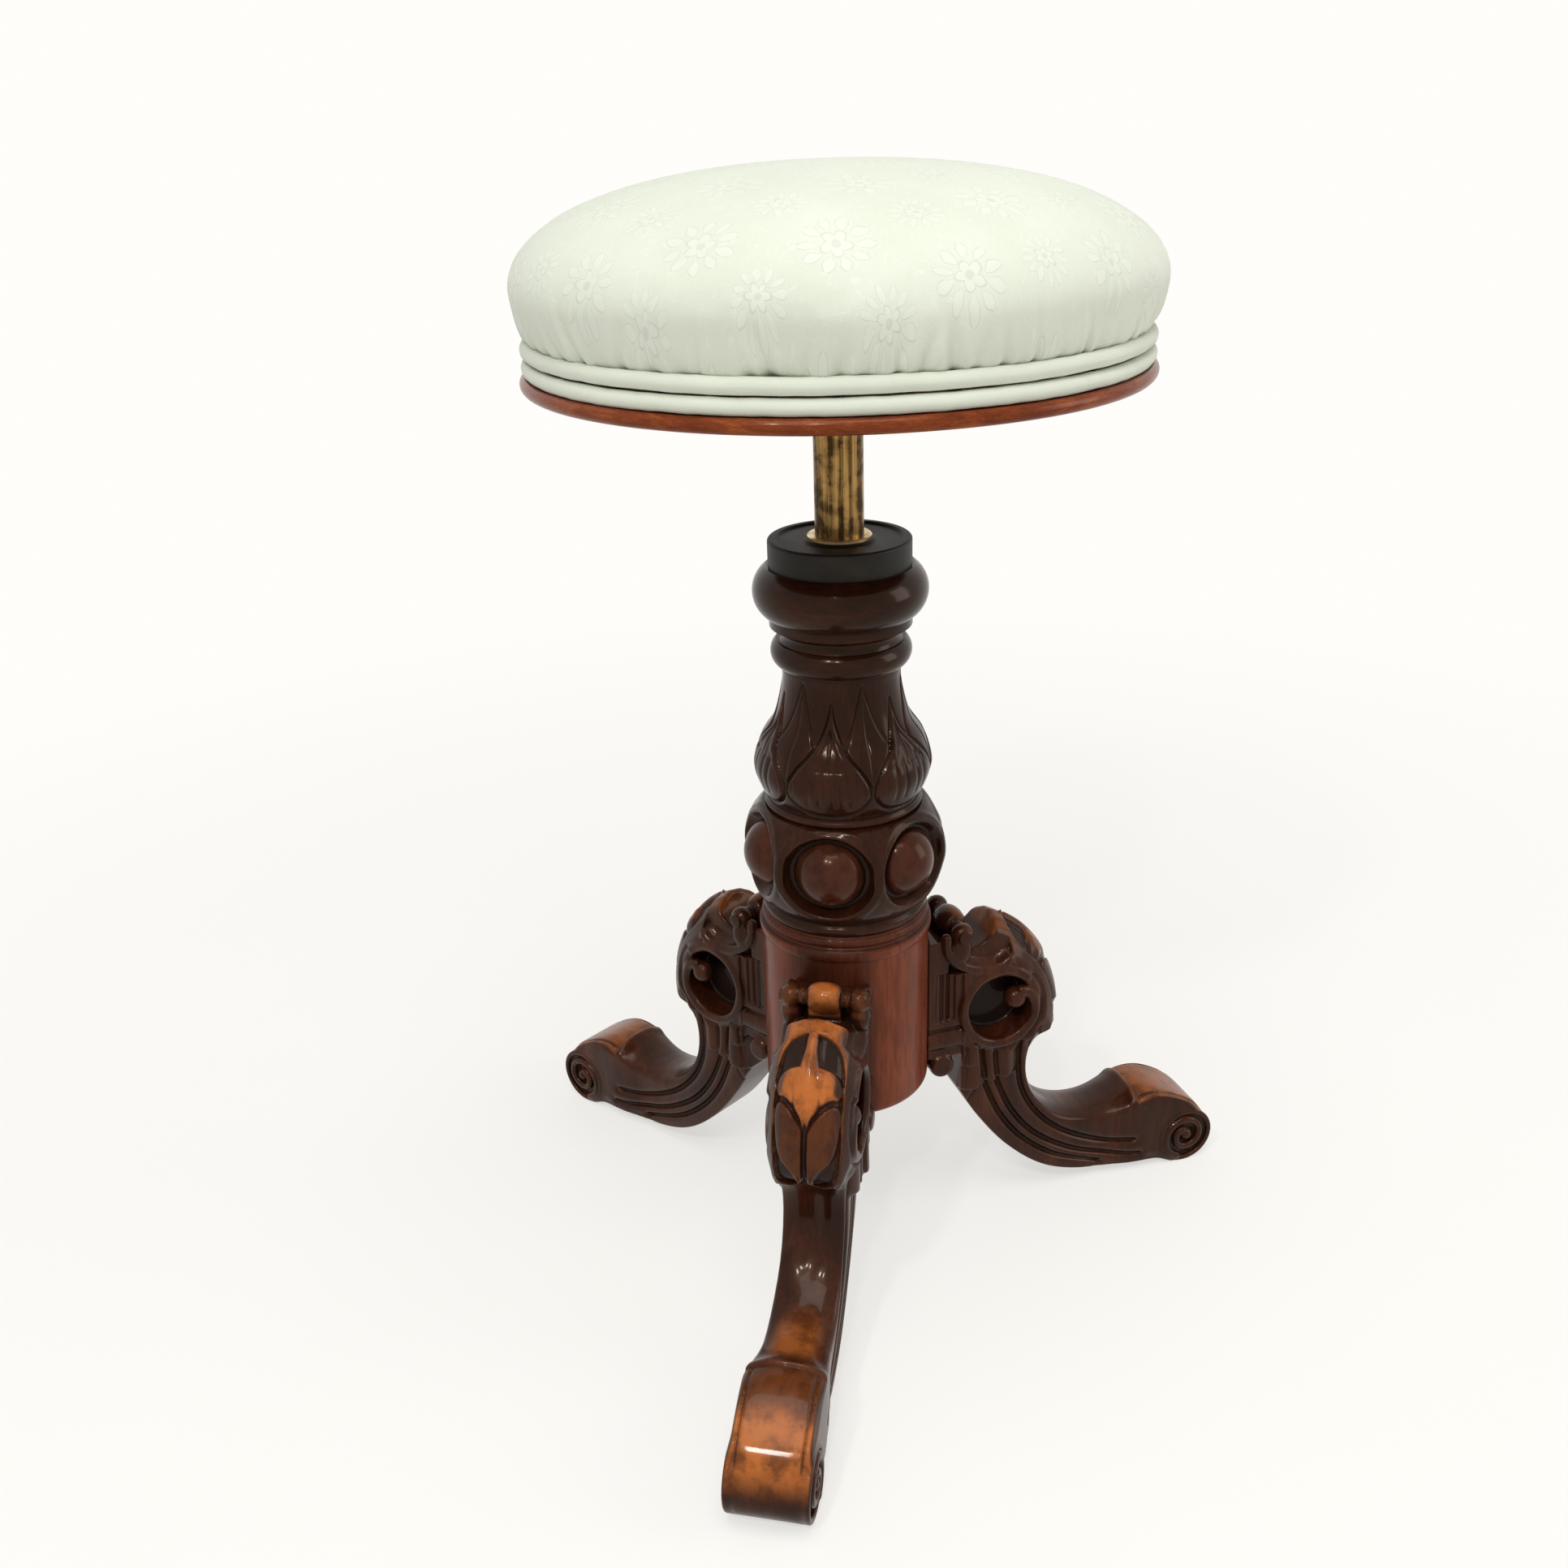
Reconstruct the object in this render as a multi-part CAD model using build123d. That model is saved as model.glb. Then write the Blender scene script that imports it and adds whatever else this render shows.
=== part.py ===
"""Victorian revolving piano stool: three carved scroll legs, a turned and carved column,
and a round stuff-over seat that climbs a hidden screw as it is turned.

Millimetres, +Z up.  The origin is on the column's axis at floor level, and the front leg
points along -Y.  "Leg plane" means a leg's own side view: u runs outwards from the
column's axis, v is the height and w the distance across the leg.
"""
import os
from math import cos, pi, radians, sin, sqrt

from build123d import *

# ------------------------------------------------------------------ driving sizes
# Clearances
glue_gap = 0.05          # between wooden or metal pieces that are glued, pressed or screwed
run_gap = 0.05           # radial play of pieces that turn or slide in each other
face_gap = 0.3           # between faces that meet as the seat moves
soft_gap = 0.15          # between cloth or cord and what it lies on

# Screw lift
lead = 6.35              # rise of the seat for each turn
turns_down = 11          # from the photographed height to the lowest one
turns_up = 8             # from the photographed height to the highest one
screw_r = 6.35
screw_tail = 12.0        # screw below the base plate
screw_end = 7.0          # screw above the stop washer
nut_body_h = 26.0
nut_flange_h = 4.0
nut_flange_lip = 2.7     # flange beyond the stem's outside
nut_pin_r = 1.5
foot_room = 8.15         # left over the lock nut at the lowest seat
steady_ring_h = 10.0
steady_ring_wall = 4.6   # from the stem to the lower bore of the column
clip_h = 1.6
clip_lip = 2.3           # clip beyond the stem's outside
clip_groove = 0.6
clip_mouth = 5.0
washer_h = 3.0
washer_play = 0.6        # radial gap between the stop washer and the stem
split_pin_r = 1.3
split_pin_end = 1.0      # pin beyond the screw on each side

# Stem
stem_r = 12.7
stem_wall = 3.2
stem_pin_r = 1.6

# Base plate and its nuts
base_plate_r = 38.0
base_plate_h = 4.0
base_screw_circle_r = 30.0
base_screws = 3
lock_nut_h = 10.0
lock_nut_wall = 5.15     # from the thread to the nut's corners

# Leg drum
drum_r = 47.3
drum_foot_z = 108.0
drum_h = 116.0
drum_edge_r = 5.0        # rounding of its lower edge
drum_ring_proud = 1.5    # upper ring beyond the drum
drum_ring_h = 20.0
drum_bead_h = 9.0
drum_groove = 1.6
tenon_r = 29.0
tenon_h = 22.0

# Turned column: roundel block, vase and capital, from the drum up to the black cap
band_foot_r = 43.0
band_r = 56.5
band_h = 64.0
band_top_r = 44.7
vase_foot_r = 41.8
vase_foot_h = 4.0
vase_r = 48.0
vase_h = 76.0
vase_belly_h = 20.0      # widest place above the vase's foot
neck_r = 32.4
bead_r = 37.6
bead_h = 13.0
hollow_r = 32.2
hollow_h = 8.0
fillet_r = 37.8
fillet_h = 4.5
torus_r = 46.2
torus_h = 27.3
spigot_r = 24.0          # spigots that join the column's lengths
spigot_h = 14.0

# Roundels carved round the block
roundels = 6
roundel_r = 23.5
roundel_up = 38.0        # centre above the drum
roundel_ball_r = 16.0
roundel_dish = 8.5       # depth of the dished ring
roundel_proud = 0.8      # ball beyond the block

# Black cap and its brass bush
cap_r = 37.5
cap_h = 14.0
cap_edge = 1.5
cap_rim = 4.0            # width of the raised rim
cap_lip = 1.2            # its height over the cap's flat
bush_wall = 2.5
bush_h = 40.0
bush_flange_lip = 1.6
bush_flange_h = 1.6

# Seat woodwork and iron
board_h = 7.0
board_lip = 1.3          # board beyond the cords
seat_ring_r = 144.4
seat_ring_wall = 36.0
seat_ring_h = 17.5
rail_w = 84.0
rail_h = 13.0
plate_r = 56.0
plate_h = 4.5
boss_wall = 7.3
boss_h = 5.45
plate_screws = 4
ring_screws = 6

# Upholstery
web_w = 44.0
web_pitch = 50.0
webs = 5
web_h = 1.5
hessian_h = 0.8
cover_h = 1.2
wadding_h = 3.0
crown_up = 75.0          # crown of the cushion above the seat frame
waist_up = 21.0          # its widest line above the seat frame
waist_out = 12.35        # its widest line beyond the skirt of the cover
foot_out = 5.85          # its drawn-in foot beyond the skirt
crown_power = 2.2        # 2 is an ellipse; more is a fuller shoulder
cord_r = 3.95
cord_gap = 0.6           # between the two rows of cord
tack_shank_r = 0.7
tack_head_r = 1.9
tack_head_h = 0.5
tack_l = 9.0
tacks = 36

# Legs, in the leg plane
legs = 3
front_azimuth = -90.0
leg_width = 42.0
knee_width = 46.0
shin_width = 34.0
foot_width = 43.0
eye_out = 39.7           # centre of the knee's volute beyond the drum
eye_up = 32.5            # and above the drum's foot
eye_rim_r = 25.2
eye_r = 18.6
eye_depth = 7.5          # recess below the volute's rim
eye_ball_r = 6.6
rim_proud = 1.0          # volute rims beyond the side of the leg
bobbin_out = 17.2        # turned roll beyond the drum
bobbin_up = 57.5         # and above the volute's centre
bobbin_l = 48.0
bobbin_bead_r = 8.4
bobbin_neck_r = 5.0
bobbin_end_r = 6.6
foot_reach = 243.0       # toe from the column's axis
foot_eye_in = 24.0       # centre of the foot's volute from the toe
foot_eye_z = 17.0
foot_rim_r = 14.0
foot_eye_r = 10.5
foot_eye_depth = 3.0
foot_ball_r = 5.6
crest_in = 57.0          # crest of the foot from the toe
crest_z = 59.0
bay_depth = 34.0         # hollow between knee and foot, from the line that joins its ends
dowel_r = 5.0
dowel_l = 30.0
dowel_ups = (-4.5, 37.5)  # heights above the volute's centre

# Fasteners
wood_screw_r = 2.2
wood_screw_head_r = 4.6
wood_screw_l = 18.0
wood_screw_point = 3.0

# ------------------------------------------------------------------ worked-out places
down_travel = turns_down * lead
up_travel = turns_up * lead
bore_r = stem_r + steady_ring_wall
base_plate_z = drum_foot_z - base_plate_h
lock_nut_r = screw_r + lock_nut_wall
stem_foot_z = drum_foot_z + lock_nut_h + foot_room + nut_flange_h + down_travel
nut_top_z = stem_foot_z + nut_body_h
stop_z = nut_top_z + up_travel + face_gap
split_pin_z = stop_z + washer_h + screw_end / 2
screw_top_z = stop_z + washer_h + screw_end
clip_z = stem_foot_z + steady_ring_h + 2 * face_gap
nut_pin_z = (clip_z + clip_h + nut_top_z) / 2
nut_pin_azimuths = (0.0, 180.0)

drum_top_z = drum_foot_z + drum_h
drum_ring_r = drum_r + drum_ring_proud
band_z = drum_top_z + band_h
vase_z = band_z + vase_foot_h
neck_z = vase_z + vase_h
bead_z = neck_z + bead_h
hollow_z = bead_z + hollow_h
fillet_z = hollow_z + fillet_h
pillar_top_z = fillet_z + torus_h
cap_top_z = pillar_top_z + cap_h
bush_r = stem_r + bush_wall
bush_flange_r = bush_r + bush_flange_lip
bush_top_z = cap_top_z + bush_flange_h
narrow_bore_r = bush_r + glue_gap

boss_r = stem_r + boss_wall
boss_z = bush_top_z + down_travel + face_gap
plate_z = boss_z + boss_h
stem_pin_z = (boss_z + plate_z) / 2
board_z = plate_z + plate_h
board_top_z = board_z + board_h
ring_top_z = board_top_z + seat_ring_h
web_top_z = ring_top_z + 2 * web_h
pad_z = web_top_z + hessian_h
skirt_r = seat_ring_r + glue_gap + cover_h
cord_circle_r = skirt_r + soft_gap + cord_r
cord_lower_z = board_top_z + soft_gap + cord_r
cord_upper_z = cord_lower_z + 2 * cord_r + cord_gap
tack_z = (cord_lower_z + cord_upper_z) / 2
cover_neck_z = cord_upper_z + cord_r + 2 * soft_gap
board_r = cord_circle_r + cord_r + board_lip
crown_z = ring_top_z + crown_up
waist_z = ring_top_z + waist_up
waist_r = skirt_r + waist_out
cushion_foot_r = skirt_r + foot_out
plate_screw_circle_r = (boss_r + plate_r) / 2
ring_screw_circle_r = seat_ring_r - seat_ring_wall / 2

eye_u, eye_v = drum_r + eye_out, drum_foot_z + eye_up
bobbin_u, bobbin_v = drum_r + bobbin_out, eye_v + bobbin_up
foot_eye_u = foot_reach - foot_eye_in
cradle_v = bobbin_v - bobbin_bead_r - 4.5      # floor of the hollow under the turned roll
dowel_heights = [eye_v + up for up in dowel_ups]
lip_u, lip_v = eye_u + 30.5, eye_v - 25.0
crest_u = foot_reach - crest_in
leg_azimuths = {
    "leg_front": front_azimuth,
    "leg_right": front_azimuth + 360.0 / legs,
    "leg_left": front_azimuth + 2 * 360.0 / legs,
}


# ------------------------------------------------------------------ helpers
def outline(start, *moves):
    """A closed face: each move is a point (straight), (middle, end) for an arc,
    or a list of points for a smooth curve that runs on from the last point."""
    edges, here = [], start
    for move in moves:
        if isinstance(move, list):
            edge = Spline(here, *move)
            here = move[-1]
        elif isinstance(move[0], tuple):
            edge = ThreePointArc(here, move[0], move[1])
            here = move[1]
        else:
            edge = Line(here, move)
            here = move
        edges.append(edge)
    if (Vector(*here) - Vector(*start)).length > 1e-6:
        edges.append(Line(here, start))
    return make_face(Wire(edges))


def turned(face):
    """Solid of revolution about the column's axis from a face drawn in (radius, height)."""
    return revolve(Plane.XZ * face, Axis.Z)


def ring(inner, outer, z, height):
    """Plain ring or, with inner 0, a disc."""
    body = Pos(0, 0, z + height / 2) * Cylinder(outer, height)
    if inner > 0:
        body -= Pos(0, 0, z + height / 2) * Cylinder(inner, height + 2)
    return body


def bevelled_ring(inner, outer, z, height):
    """Cast plate whose lower outer edge is bevelled."""
    bevel, top = height / 4, z + height
    return turned(outline((inner, z), (outer - bevel, z), (outer, z + bevel), (outer, top), (inner, top)))


def rod(radius, low, high):
    """Upright cylinder from one height to another."""
    return Pos(0, 0, (low + high) / 2) * Cylinder(radius, high - low)


def radial_rod(radius, near, far, z, azimuth):
    """Cylinder that lies along a radius of the column, between two distances from the axis."""
    bar = Pos((near + far) / 2, 0, z) * Rot(0, 90, 0) * Cylinder(radius, far - near)
    return Rot(0, 0, azimuth) * bar


def cross_rod(radius, half, z):
    """Cylinder that lies across the column's axis, as far to one side as to the other."""
    return Pos(0, 0, z) * Rot(0, 90, 0) * Cylinder(radius, 2 * half)


def around(count, start=0.0):
    return [start + 360.0 * i / count for i in range(count)]


def at_circle(shape, circle_r, azimuths):
    return [Rot(0, 0, a) * Pos(circle_r, 0, 0) * shape for a in azimuths]


def wood_screw(head_z, grow=0.0):
    """Countersunk screw that points upwards, its flat head at the given height."""
    head_h = wood_screw_head_r - wood_screw_r
    tip_z = head_z + wood_screw_l
    profile = outline(
        (0, head_z - grow),
        (wood_screw_head_r + grow, head_z - grow),
        (wood_screw_r + grow, head_z - grow + head_h),
        (wood_screw_r + grow, tip_z - wood_screw_point),
        (wood_screw_r / 5 + grow, tip_z + grow),
        (0, tip_z + grow),
    )
    return turned(profile)


def hexagon(across_r, z, height, hole_r):
    prism = Pos(0, 0, z) * extrude(RegularPolygon(across_r, 6), height)
    return prism - rod(hole_r, z - 1, z + height + 1)


def slotted_screws(head_z, circle_r, azimuths):
    """Screws round a circle, each with the driver's slot in its head."""
    slot = Pos(0, 0, head_z) * Box(3 * wood_screw_head_r, wood_screw_r / 2, wood_screw_r / 1.5)
    return at_circle(wood_screw(head_z) - slot, circle_r, azimuths)


base_screw_azimuths = around(base_screws, front_azimuth + 180.0 / legs)
base_screw_holes = at_circle(wood_screw(base_plate_z, glue_gap), base_screw_circle_r, base_screw_azimuths)
plate_screw_azimuths = around(plate_screws, 45.0)
plate_screw_holes = at_circle(wood_screw(plate_z, glue_gap), plate_screw_circle_r, plate_screw_azimuths)
ring_screw_azimuths = around(ring_screws, 15.0)
ring_screw_holes = at_circle(wood_screw(board_z, glue_gap), ring_screw_circle_r, ring_screw_azimuths)


# ------------------------------------------------------------------ column
def drum_outline(grow=0.0):
    """Outer shape of the leg drum, from its bottom edge up to the pillar's foot."""
    body_top = drum_top_z - drum_ring_h - drum_bead_h
    ring_foot = drum_top_z - drum_ring_h
    r, ring_out, cut = drum_r + grow, drum_ring_r + grow, drum_groove
    corner = drum_edge_r * (1 - sqrt(0.5))
    return outline(
        (0, drum_foot_z - grow),
        (r - drum_edge_r, drum_foot_z - grow),
        ((r - corner, drum_foot_z - grow + corner), (r, drum_foot_z - grow + drum_edge_r)),
        (r, body_top),
        (r - cut, body_top + 1.2),
        ((r, body_top + drum_bead_h / 2 + 0.6), (r - cut, ring_foot)),
        (ring_out - 0.8, ring_foot),
        ((ring_out, ring_foot + drum_ring_h * 0.4), (band_foot_r + 1.7 + grow, drum_top_z + grow)),
        (0, drum_top_z + grow),
    )


def make_drum():
    drum = turned(drum_outline())
    drum -= rod(bore_r, drum_foot_z - 1, drum_top_z + 1)
    drum -= rod(tenon_r + glue_gap, drum_top_z - tenon_h - glue_gap, drum_top_z + 1)
    for azimuth in leg_azimuths.values():
        for height in dowel_heights:
            drum -= radial_rod(dowel_r + glue_gap, drum_r - dowel_l / 2 - glue_gap, drum_r + 5,
                               height, azimuth)
    for hole in base_screw_holes:
        drum -= hole
    return drum


def roundel(azimuth):
    """The dished ring that is cut away and the ball left standing in it."""
    front = band_r + roundel_proud
    lay = Rot(0, 0, azimuth) * Pos(0, 0, drum_top_z + roundel_up) * Rot(0, 90, 0)
    dish = lay * Pos(0, 0, front) * Cylinder(roundel_r, 2 * (roundel_dish + roundel_proud))
    ball = lay * Pos(0, 0, front - roundel_ball_r) * Sphere(roundel_ball_r)
    return dish, ball


def make_roundel_block():
    """Swelling block with carved roundels, let into the drum below and the vase above."""
    block = turned(outline(
        (0, drum_top_z),
        (band_foot_r, drum_top_z),
        [(band_r - 5.4, drum_top_z + 13), (band_r, drum_top_z + band_h * 0.54), (band_r - 3.0, band_z - 13),
         (band_r - 8.8, band_z - 3), (band_top_r, band_z)],
        (0, band_z),
    ))
    for azimuth in around(roundels, front_azimuth):
        dish, ball = roundel(azimuth)
        block = block - dish + ball
    block += rod(tenon_r, drum_top_z - tenon_h, drum_top_z + 1)
    block += rod(spigot_r, band_z - 1, band_z + spigot_h)
    return block - rod(bore_r, drum_top_z - tenon_h - 1, band_z + spigot_h + 1)


def make_vase():
    """Carved vase, bored for the roundel block's spigot and with its own spigot on top."""
    belly_z = vase_z + vase_belly_h
    vase = turned(outline(
        (0, band_z),
        (vase_foot_r + 0.8, band_z),
        ((vase_foot_r + 1.6, band_z + vase_foot_h / 2), (vase_foot_r, vase_z)),
        [(vase_r - 2.2, belly_z - 11), (vase_r, belly_z), (vase_r - 4.0, belly_z + 14),
         (neck_r + 4.2, belly_z + 26), (neck_r + 0.4, belly_z + 43), (neck_r, neck_z)],
        (0, neck_z),
    ))
    vase += rod(spigot_r, neck_z - 1, neck_z + spigot_h)
    vase -= rod(spigot_r + glue_gap, band_z - 1, band_z + spigot_h + glue_gap)
    return vase - rod(bore_r, band_z, neck_z + spigot_h + 1)


def make_capital():
    """Bead, hollow, fillet and torus under the black cap."""
    capital = turned(outline(
        (0, neck_z),
        (bead_r - 3.0, neck_z),
        ((bead_r, neck_z + bead_h / 2), (bead_r - 3.0, bead_z)),
        (hollow_r + 0.8, bead_z),
        ((hollow_r, bead_z + hollow_h / 2), (fillet_r - 2.0, hollow_z)),
        (fillet_r, hollow_z),
        (fillet_r, fillet_z),
        ((torus_r, fillet_z + torus_h / 2), (cap_r + 1.4, pillar_top_z)),
        (0, pillar_top_z),
    ))
    capital -= rod(spigot_r + glue_gap, neck_z - 1, neck_z + spigot_h + glue_gap)
    return capital - rod(narrow_bore_r, neck_z, pillar_top_z + 1)


def make_cap():
    """Ebonised collar with a raised rim round a flat that lies just below it."""
    rim_in = cap_r - cap_rim
    return turned(outline(
        (narrow_bore_r, pillar_top_z),
        (cap_r, pillar_top_z),
        (cap_r, cap_top_z - cap_edge),
        ((cap_r - cap_edge * 0.3, cap_top_z - cap_edge * 0.3), (cap_r - cap_edge, cap_top_z)),
        (rim_in, cap_top_z),
        (rim_in - cap_lip, cap_top_z - cap_lip),
        (bush_flange_r + 2 * cap_lip, cap_top_z - cap_lip),
        (bush_flange_r + cap_lip, cap_top_z),
        (narrow_bore_r, cap_top_z),
    ))


def make_bush():
    foot = cap_top_z - bush_h
    face = outline(
        (stem_r + run_gap, foot),
        (bush_r, foot),
        (bush_r, cap_top_z),
        (bush_flange_r, cap_top_z),
        (bush_flange_r, bush_top_z - bush_flange_h / 3),
        (bush_flange_r - bush_flange_h / 3, bush_top_z),
        (stem_r + run_gap, bush_top_z),
    )
    return turned(face)


# ------------------------------------------------------------------ screw lift
def make_screw():
    screw = rod(screw_r, base_plate_z - screw_tail, screw_top_z)
    screw = chamfer(screw.edges().group_by(Axis.Z)[-1], 1.0)
    return screw - cross_rod(split_pin_r + glue_gap, 3 * screw_r, split_pin_z)


def make_lift_nut():
    body_r = stem_r - stem_wall - glue_gap
    flange_r = stem_r + nut_flange_lip
    face = outline(
        (screw_r + run_gap, stem_foot_z - nut_flange_h),
        (flange_r, stem_foot_z - nut_flange_h),
        (flange_r, stem_foot_z - glue_gap),
        (body_r, stem_foot_z - glue_gap),
        (body_r, nut_top_z),
        (screw_r + run_gap, nut_top_z),
    )
    nut = turned(face)
    for azimuth in nut_pin_azimuths:
        nut -= radial_rod(nut_pin_r + glue_gap, screw_r - 1, stem_r, nut_pin_z, azimuth)
    return nut


def make_stem():
    bore = stem_r - stem_wall
    tube = ring(bore, stem_r, stem_foot_z, board_z - stem_foot_z)
    for azimuth in nut_pin_azimuths:
        tube -= radial_rod(nut_pin_r + glue_gap, bore - 2, stem_r + 1, nut_pin_z, azimuth)
    tube -= ring(stem_r - clip_groove, stem_r + 1, clip_z - glue_gap, clip_h + 2 * glue_gap)
    return tube - cross_rod(stem_pin_r + glue_gap, boss_r, stem_pin_z)


def make_clip():
    """Open spring ring that snaps into the stem's groove."""
    body = ring(stem_r - clip_groove + glue_gap, stem_r + clip_lip, clip_z, clip_h)
    return body - Pos(stem_r, 0, clip_z + clip_h / 2) * Box(2 * stem_r, clip_mouth, 2 * clip_h)


# ------------------------------------------------------------------ seat
def cushion_profile(inset, foot_z):
    """Half outline of the cushion's skin, from its crown down to its drawn-in foot."""
    rise, reach = crown_z - inset - waist_z, waist_r - inset
    points = []
    for step in range(1, 6):
        angle = step * pi / 12
        out, up = sin(angle) ** (2 / crown_power), cos(angle) ** (2 / crown_power)
        points.append((reach * out, waist_z + rise * up))
    points.append((reach, waist_z))
    foot_r = cushion_foot_r - inset
    points.append((foot_r + (reach - foot_r) * 0.55, waist_z - (waist_z - foot_z) * 0.62))
    points.append((foot_r, foot_z))
    return points


def make_cover():
    """Damask skin: dome, drawn-in side and the skirt that is tacked to the frame."""
    outer = cushion_profile(0.0, cover_neck_z)
    inner = cushion_profile(cover_h, cover_neck_z + cover_h)
    skirt_foot = board_top_z + glue_gap
    face = outline(
        (0, crown_z),
        outer,
        (skirt_r, cover_neck_z),
        (skirt_r, skirt_foot),
        (skirt_r - cover_h, skirt_foot),
        (skirt_r - cover_h, cover_neck_z + cover_h),
        inner[-1],
        list(reversed(inner[:-1])) + [(0, crown_z - cover_h)],
    )
    cover = turned(face)
    for azimuth in around(tacks):
        cover -= radial_rod(tack_shank_r + glue_gap, seat_ring_r - tack_l, skirt_r + 1, tack_z, azimuth)
    return cover


def dome(inset, foot_z, thickness=0.0):
    """Solid filling of the cushion, or one layer of it when a thickness is given."""
    skin = cushion_profile(inset, foot_z)
    body = turned(outline((0, crown_z - inset), skin, (0, foot_z)))
    if thickness:
        body -= dome(inset + thickness, foot_z - 1)
    return body


def web_strips(z, turn):
    """Parallel strips of webbing, trimmed round to the frame."""
    strips = []
    for i in range(webs):
        offset = (i - (webs - 1) / 2) * web_pitch
        half = sqrt(max((seat_ring_r - 3) ** 2 - (abs(offset) + web_w / 2) ** 2, 1.0))
        if half > web_w:
            strips.append(Rot(0, 0, turn) * Pos(0, offset, z + web_h / 2) * Box(2 * half, web_w, web_h))
    return strips


def make_tacks():
    body = []
    for azimuth in around(tacks):
        head_r = skirt_r + glue_gap / 2
        shank = radial_rod(tack_shank_r, seat_ring_r - tack_l + 1, head_r + tack_head_h / 2, tack_z, azimuth)
        head = radial_rod(tack_head_r, head_r, head_r + tack_head_h, tack_z, azimuth)
        body.append(shank + head)
    return body


def make_cord(z):
    return Pos(0, 0, z) * Torus(cord_circle_r, cord_r)


def make_seat_ring():
    body = ring(seat_ring_r - seat_ring_wall, seat_ring_r, board_top_z, seat_ring_h)
    for azimuth in around(tacks):
        body -= radial_rod(tack_shank_r + glue_gap, seat_ring_r - tack_l, seat_ring_r + 1, tack_z, azimuth)
    for screw in ring_screw_holes:
        body -= screw
    return body


def make_board():
    rim = board_h / 2
    face = outline(
        (0, board_z),
        (board_r - rim * 0.7, board_z),
        ((board_r, board_z + rim), (board_r - rim * 0.7, board_top_z)),
        (0, board_top_z),
    )
    board = turned(face)
    for screw in ring_screw_holes + plate_screw_holes:
        board -= screw
    return board


def make_rail():
    inner = seat_ring_r - seat_ring_wall - glue_gap
    rail = rod(inner, board_top_z, board_top_z + rail_h)
    rail &= Pos(0, 0, board_top_z + rail_h / 2) * Box(2 * inner + 10, rail_w, rail_h)
    for screw in plate_screw_holes:
        rail -= screw
    return rail


def make_plate():
    plate = bevelled_ring(stem_r + glue_gap, plate_r, plate_z, plate_h)
    plate += ring(stem_r + glue_gap, boss_r, boss_z, plate_z - boss_z + 1)
    for screw in plate_screw_holes:
        plate -= screw
    return plate - cross_rod(stem_pin_r + glue_gap, 1.5 * boss_r, stem_pin_z)


# ------------------------------------------------------------------ legs
def across(face, width):
    """A leg-plane face made solid across the leg, w from -width/2 to width/2."""
    return Plane.XZ * Pos(0, 0, -width / 2) * extrude(face, width)


def disc_across(u, v, radius, low, high):
    """Cylinder across the leg between two distances from its middle plane."""
    return Pos(u, (low + high) / 2, v) * Rot(90, 0, 0) * Cylinder(radius, high - low)


def ball_across(u, w, v, radius):
    """Ball whose poles lie across the leg."""
    return Pos(u, w, v) * Rot(90, 0, 0) * Sphere(radius)


def part_way(start, end, along, down):
    """Point at given shares of the way across and down from one point to another."""
    return start[0] + (end[0] - start[0]) * along, start[1] + (end[1] - start[1]) * down


def bay_circle():
    """Centre, radius and lowest-left point of the round hollow between knee and foot."""
    run, fall = crest_u - lip_u, crest_z - lip_v
    chord = sqrt(run**2 + fall**2)
    normal_u, normal_v = fall / chord, -run / chord
    mid_u, mid_v = (lip_u + crest_u) / 2, (lip_v + crest_z) / 2
    radius = (chord**2 / 4 + bay_depth**2) / (2 * bay_depth)
    back = radius - bay_depth
    centre = (mid_u - back * normal_u, mid_v - back * normal_v)
    deepest = (mid_u + bay_depth * normal_u, mid_v + bay_depth * normal_v)
    return centre, radius, deepest


def block_outline():
    """Block against the drum: top lobe and the cradle that holds the bobbin."""
    back, foot = drum_r - 12, eye_v - 22.5
    top = bobbin_v + bobbin_bead_r
    return outline(
        (back, foot),
        (back, top),
        (bobbin_u - 16.0, top),
        ((bobbin_u - 9.5, top - 4.0), (bobbin_u - 8.0, bobbin_v - 2.0)),
        ((bobbin_u - 4.5, bobbin_v - 10.0), (bobbin_u + 5.5, cradle_v)),
        (eye_u, cradle_v),
        (eye_u, foot),
    )


def knee_outline():
    """Knee: up from the cradle over the peak, round the front, under the lip and back."""
    return outline(
        (bobbin_u, cradle_v),
        (bobbin_u + 5.5, cradle_v),
        ((eye_u - 5.0, cradle_v + 4.5), (eye_u + 1.5, eye_v + 59.5)),
        ((eye_u + 4.5, eye_v + 62.5), (eye_u + 10.0, eye_v + 59.0)),
        ((eye_u + 34.5, eye_v + 34.0), (eye_u + 47.5, eye_v - 4.5)),
        ((eye_u + 46.5, eye_v - 14.0), (eye_u + 39.0, eye_v - 19.5)),
        (lip_u, lip_v),
        (eye_u + 18.0, eye_v - 44.0),
        (bobbin_u, eye_v - 48.5),
    )


def crown_section(radius, half, drops):
    """Half section of a crowned body: each drop is (distance across, how much lower)."""
    fall = [(radius - low, far) for far, low in drops]
    rise = [(out, -far) for out, far in reversed(fall)]
    return outline((0, -half), rise[0], rise[1:] + [(radius, 0)] + fall, (0, half))


def knee_crown_body():
    """Rounds the knee across the leg: a body of revolution about the centre of its front curve."""
    half = knee_width / 2
    section = crown_section(75.0, half, [(7.5, 1.6), (13.5, 6.0), (18.5, 12.0), (half, 22.0)])
    return Pos(eye_u - 27.0, 0, eye_v - 9.0) * revolve(section, Axis.Y)


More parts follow.
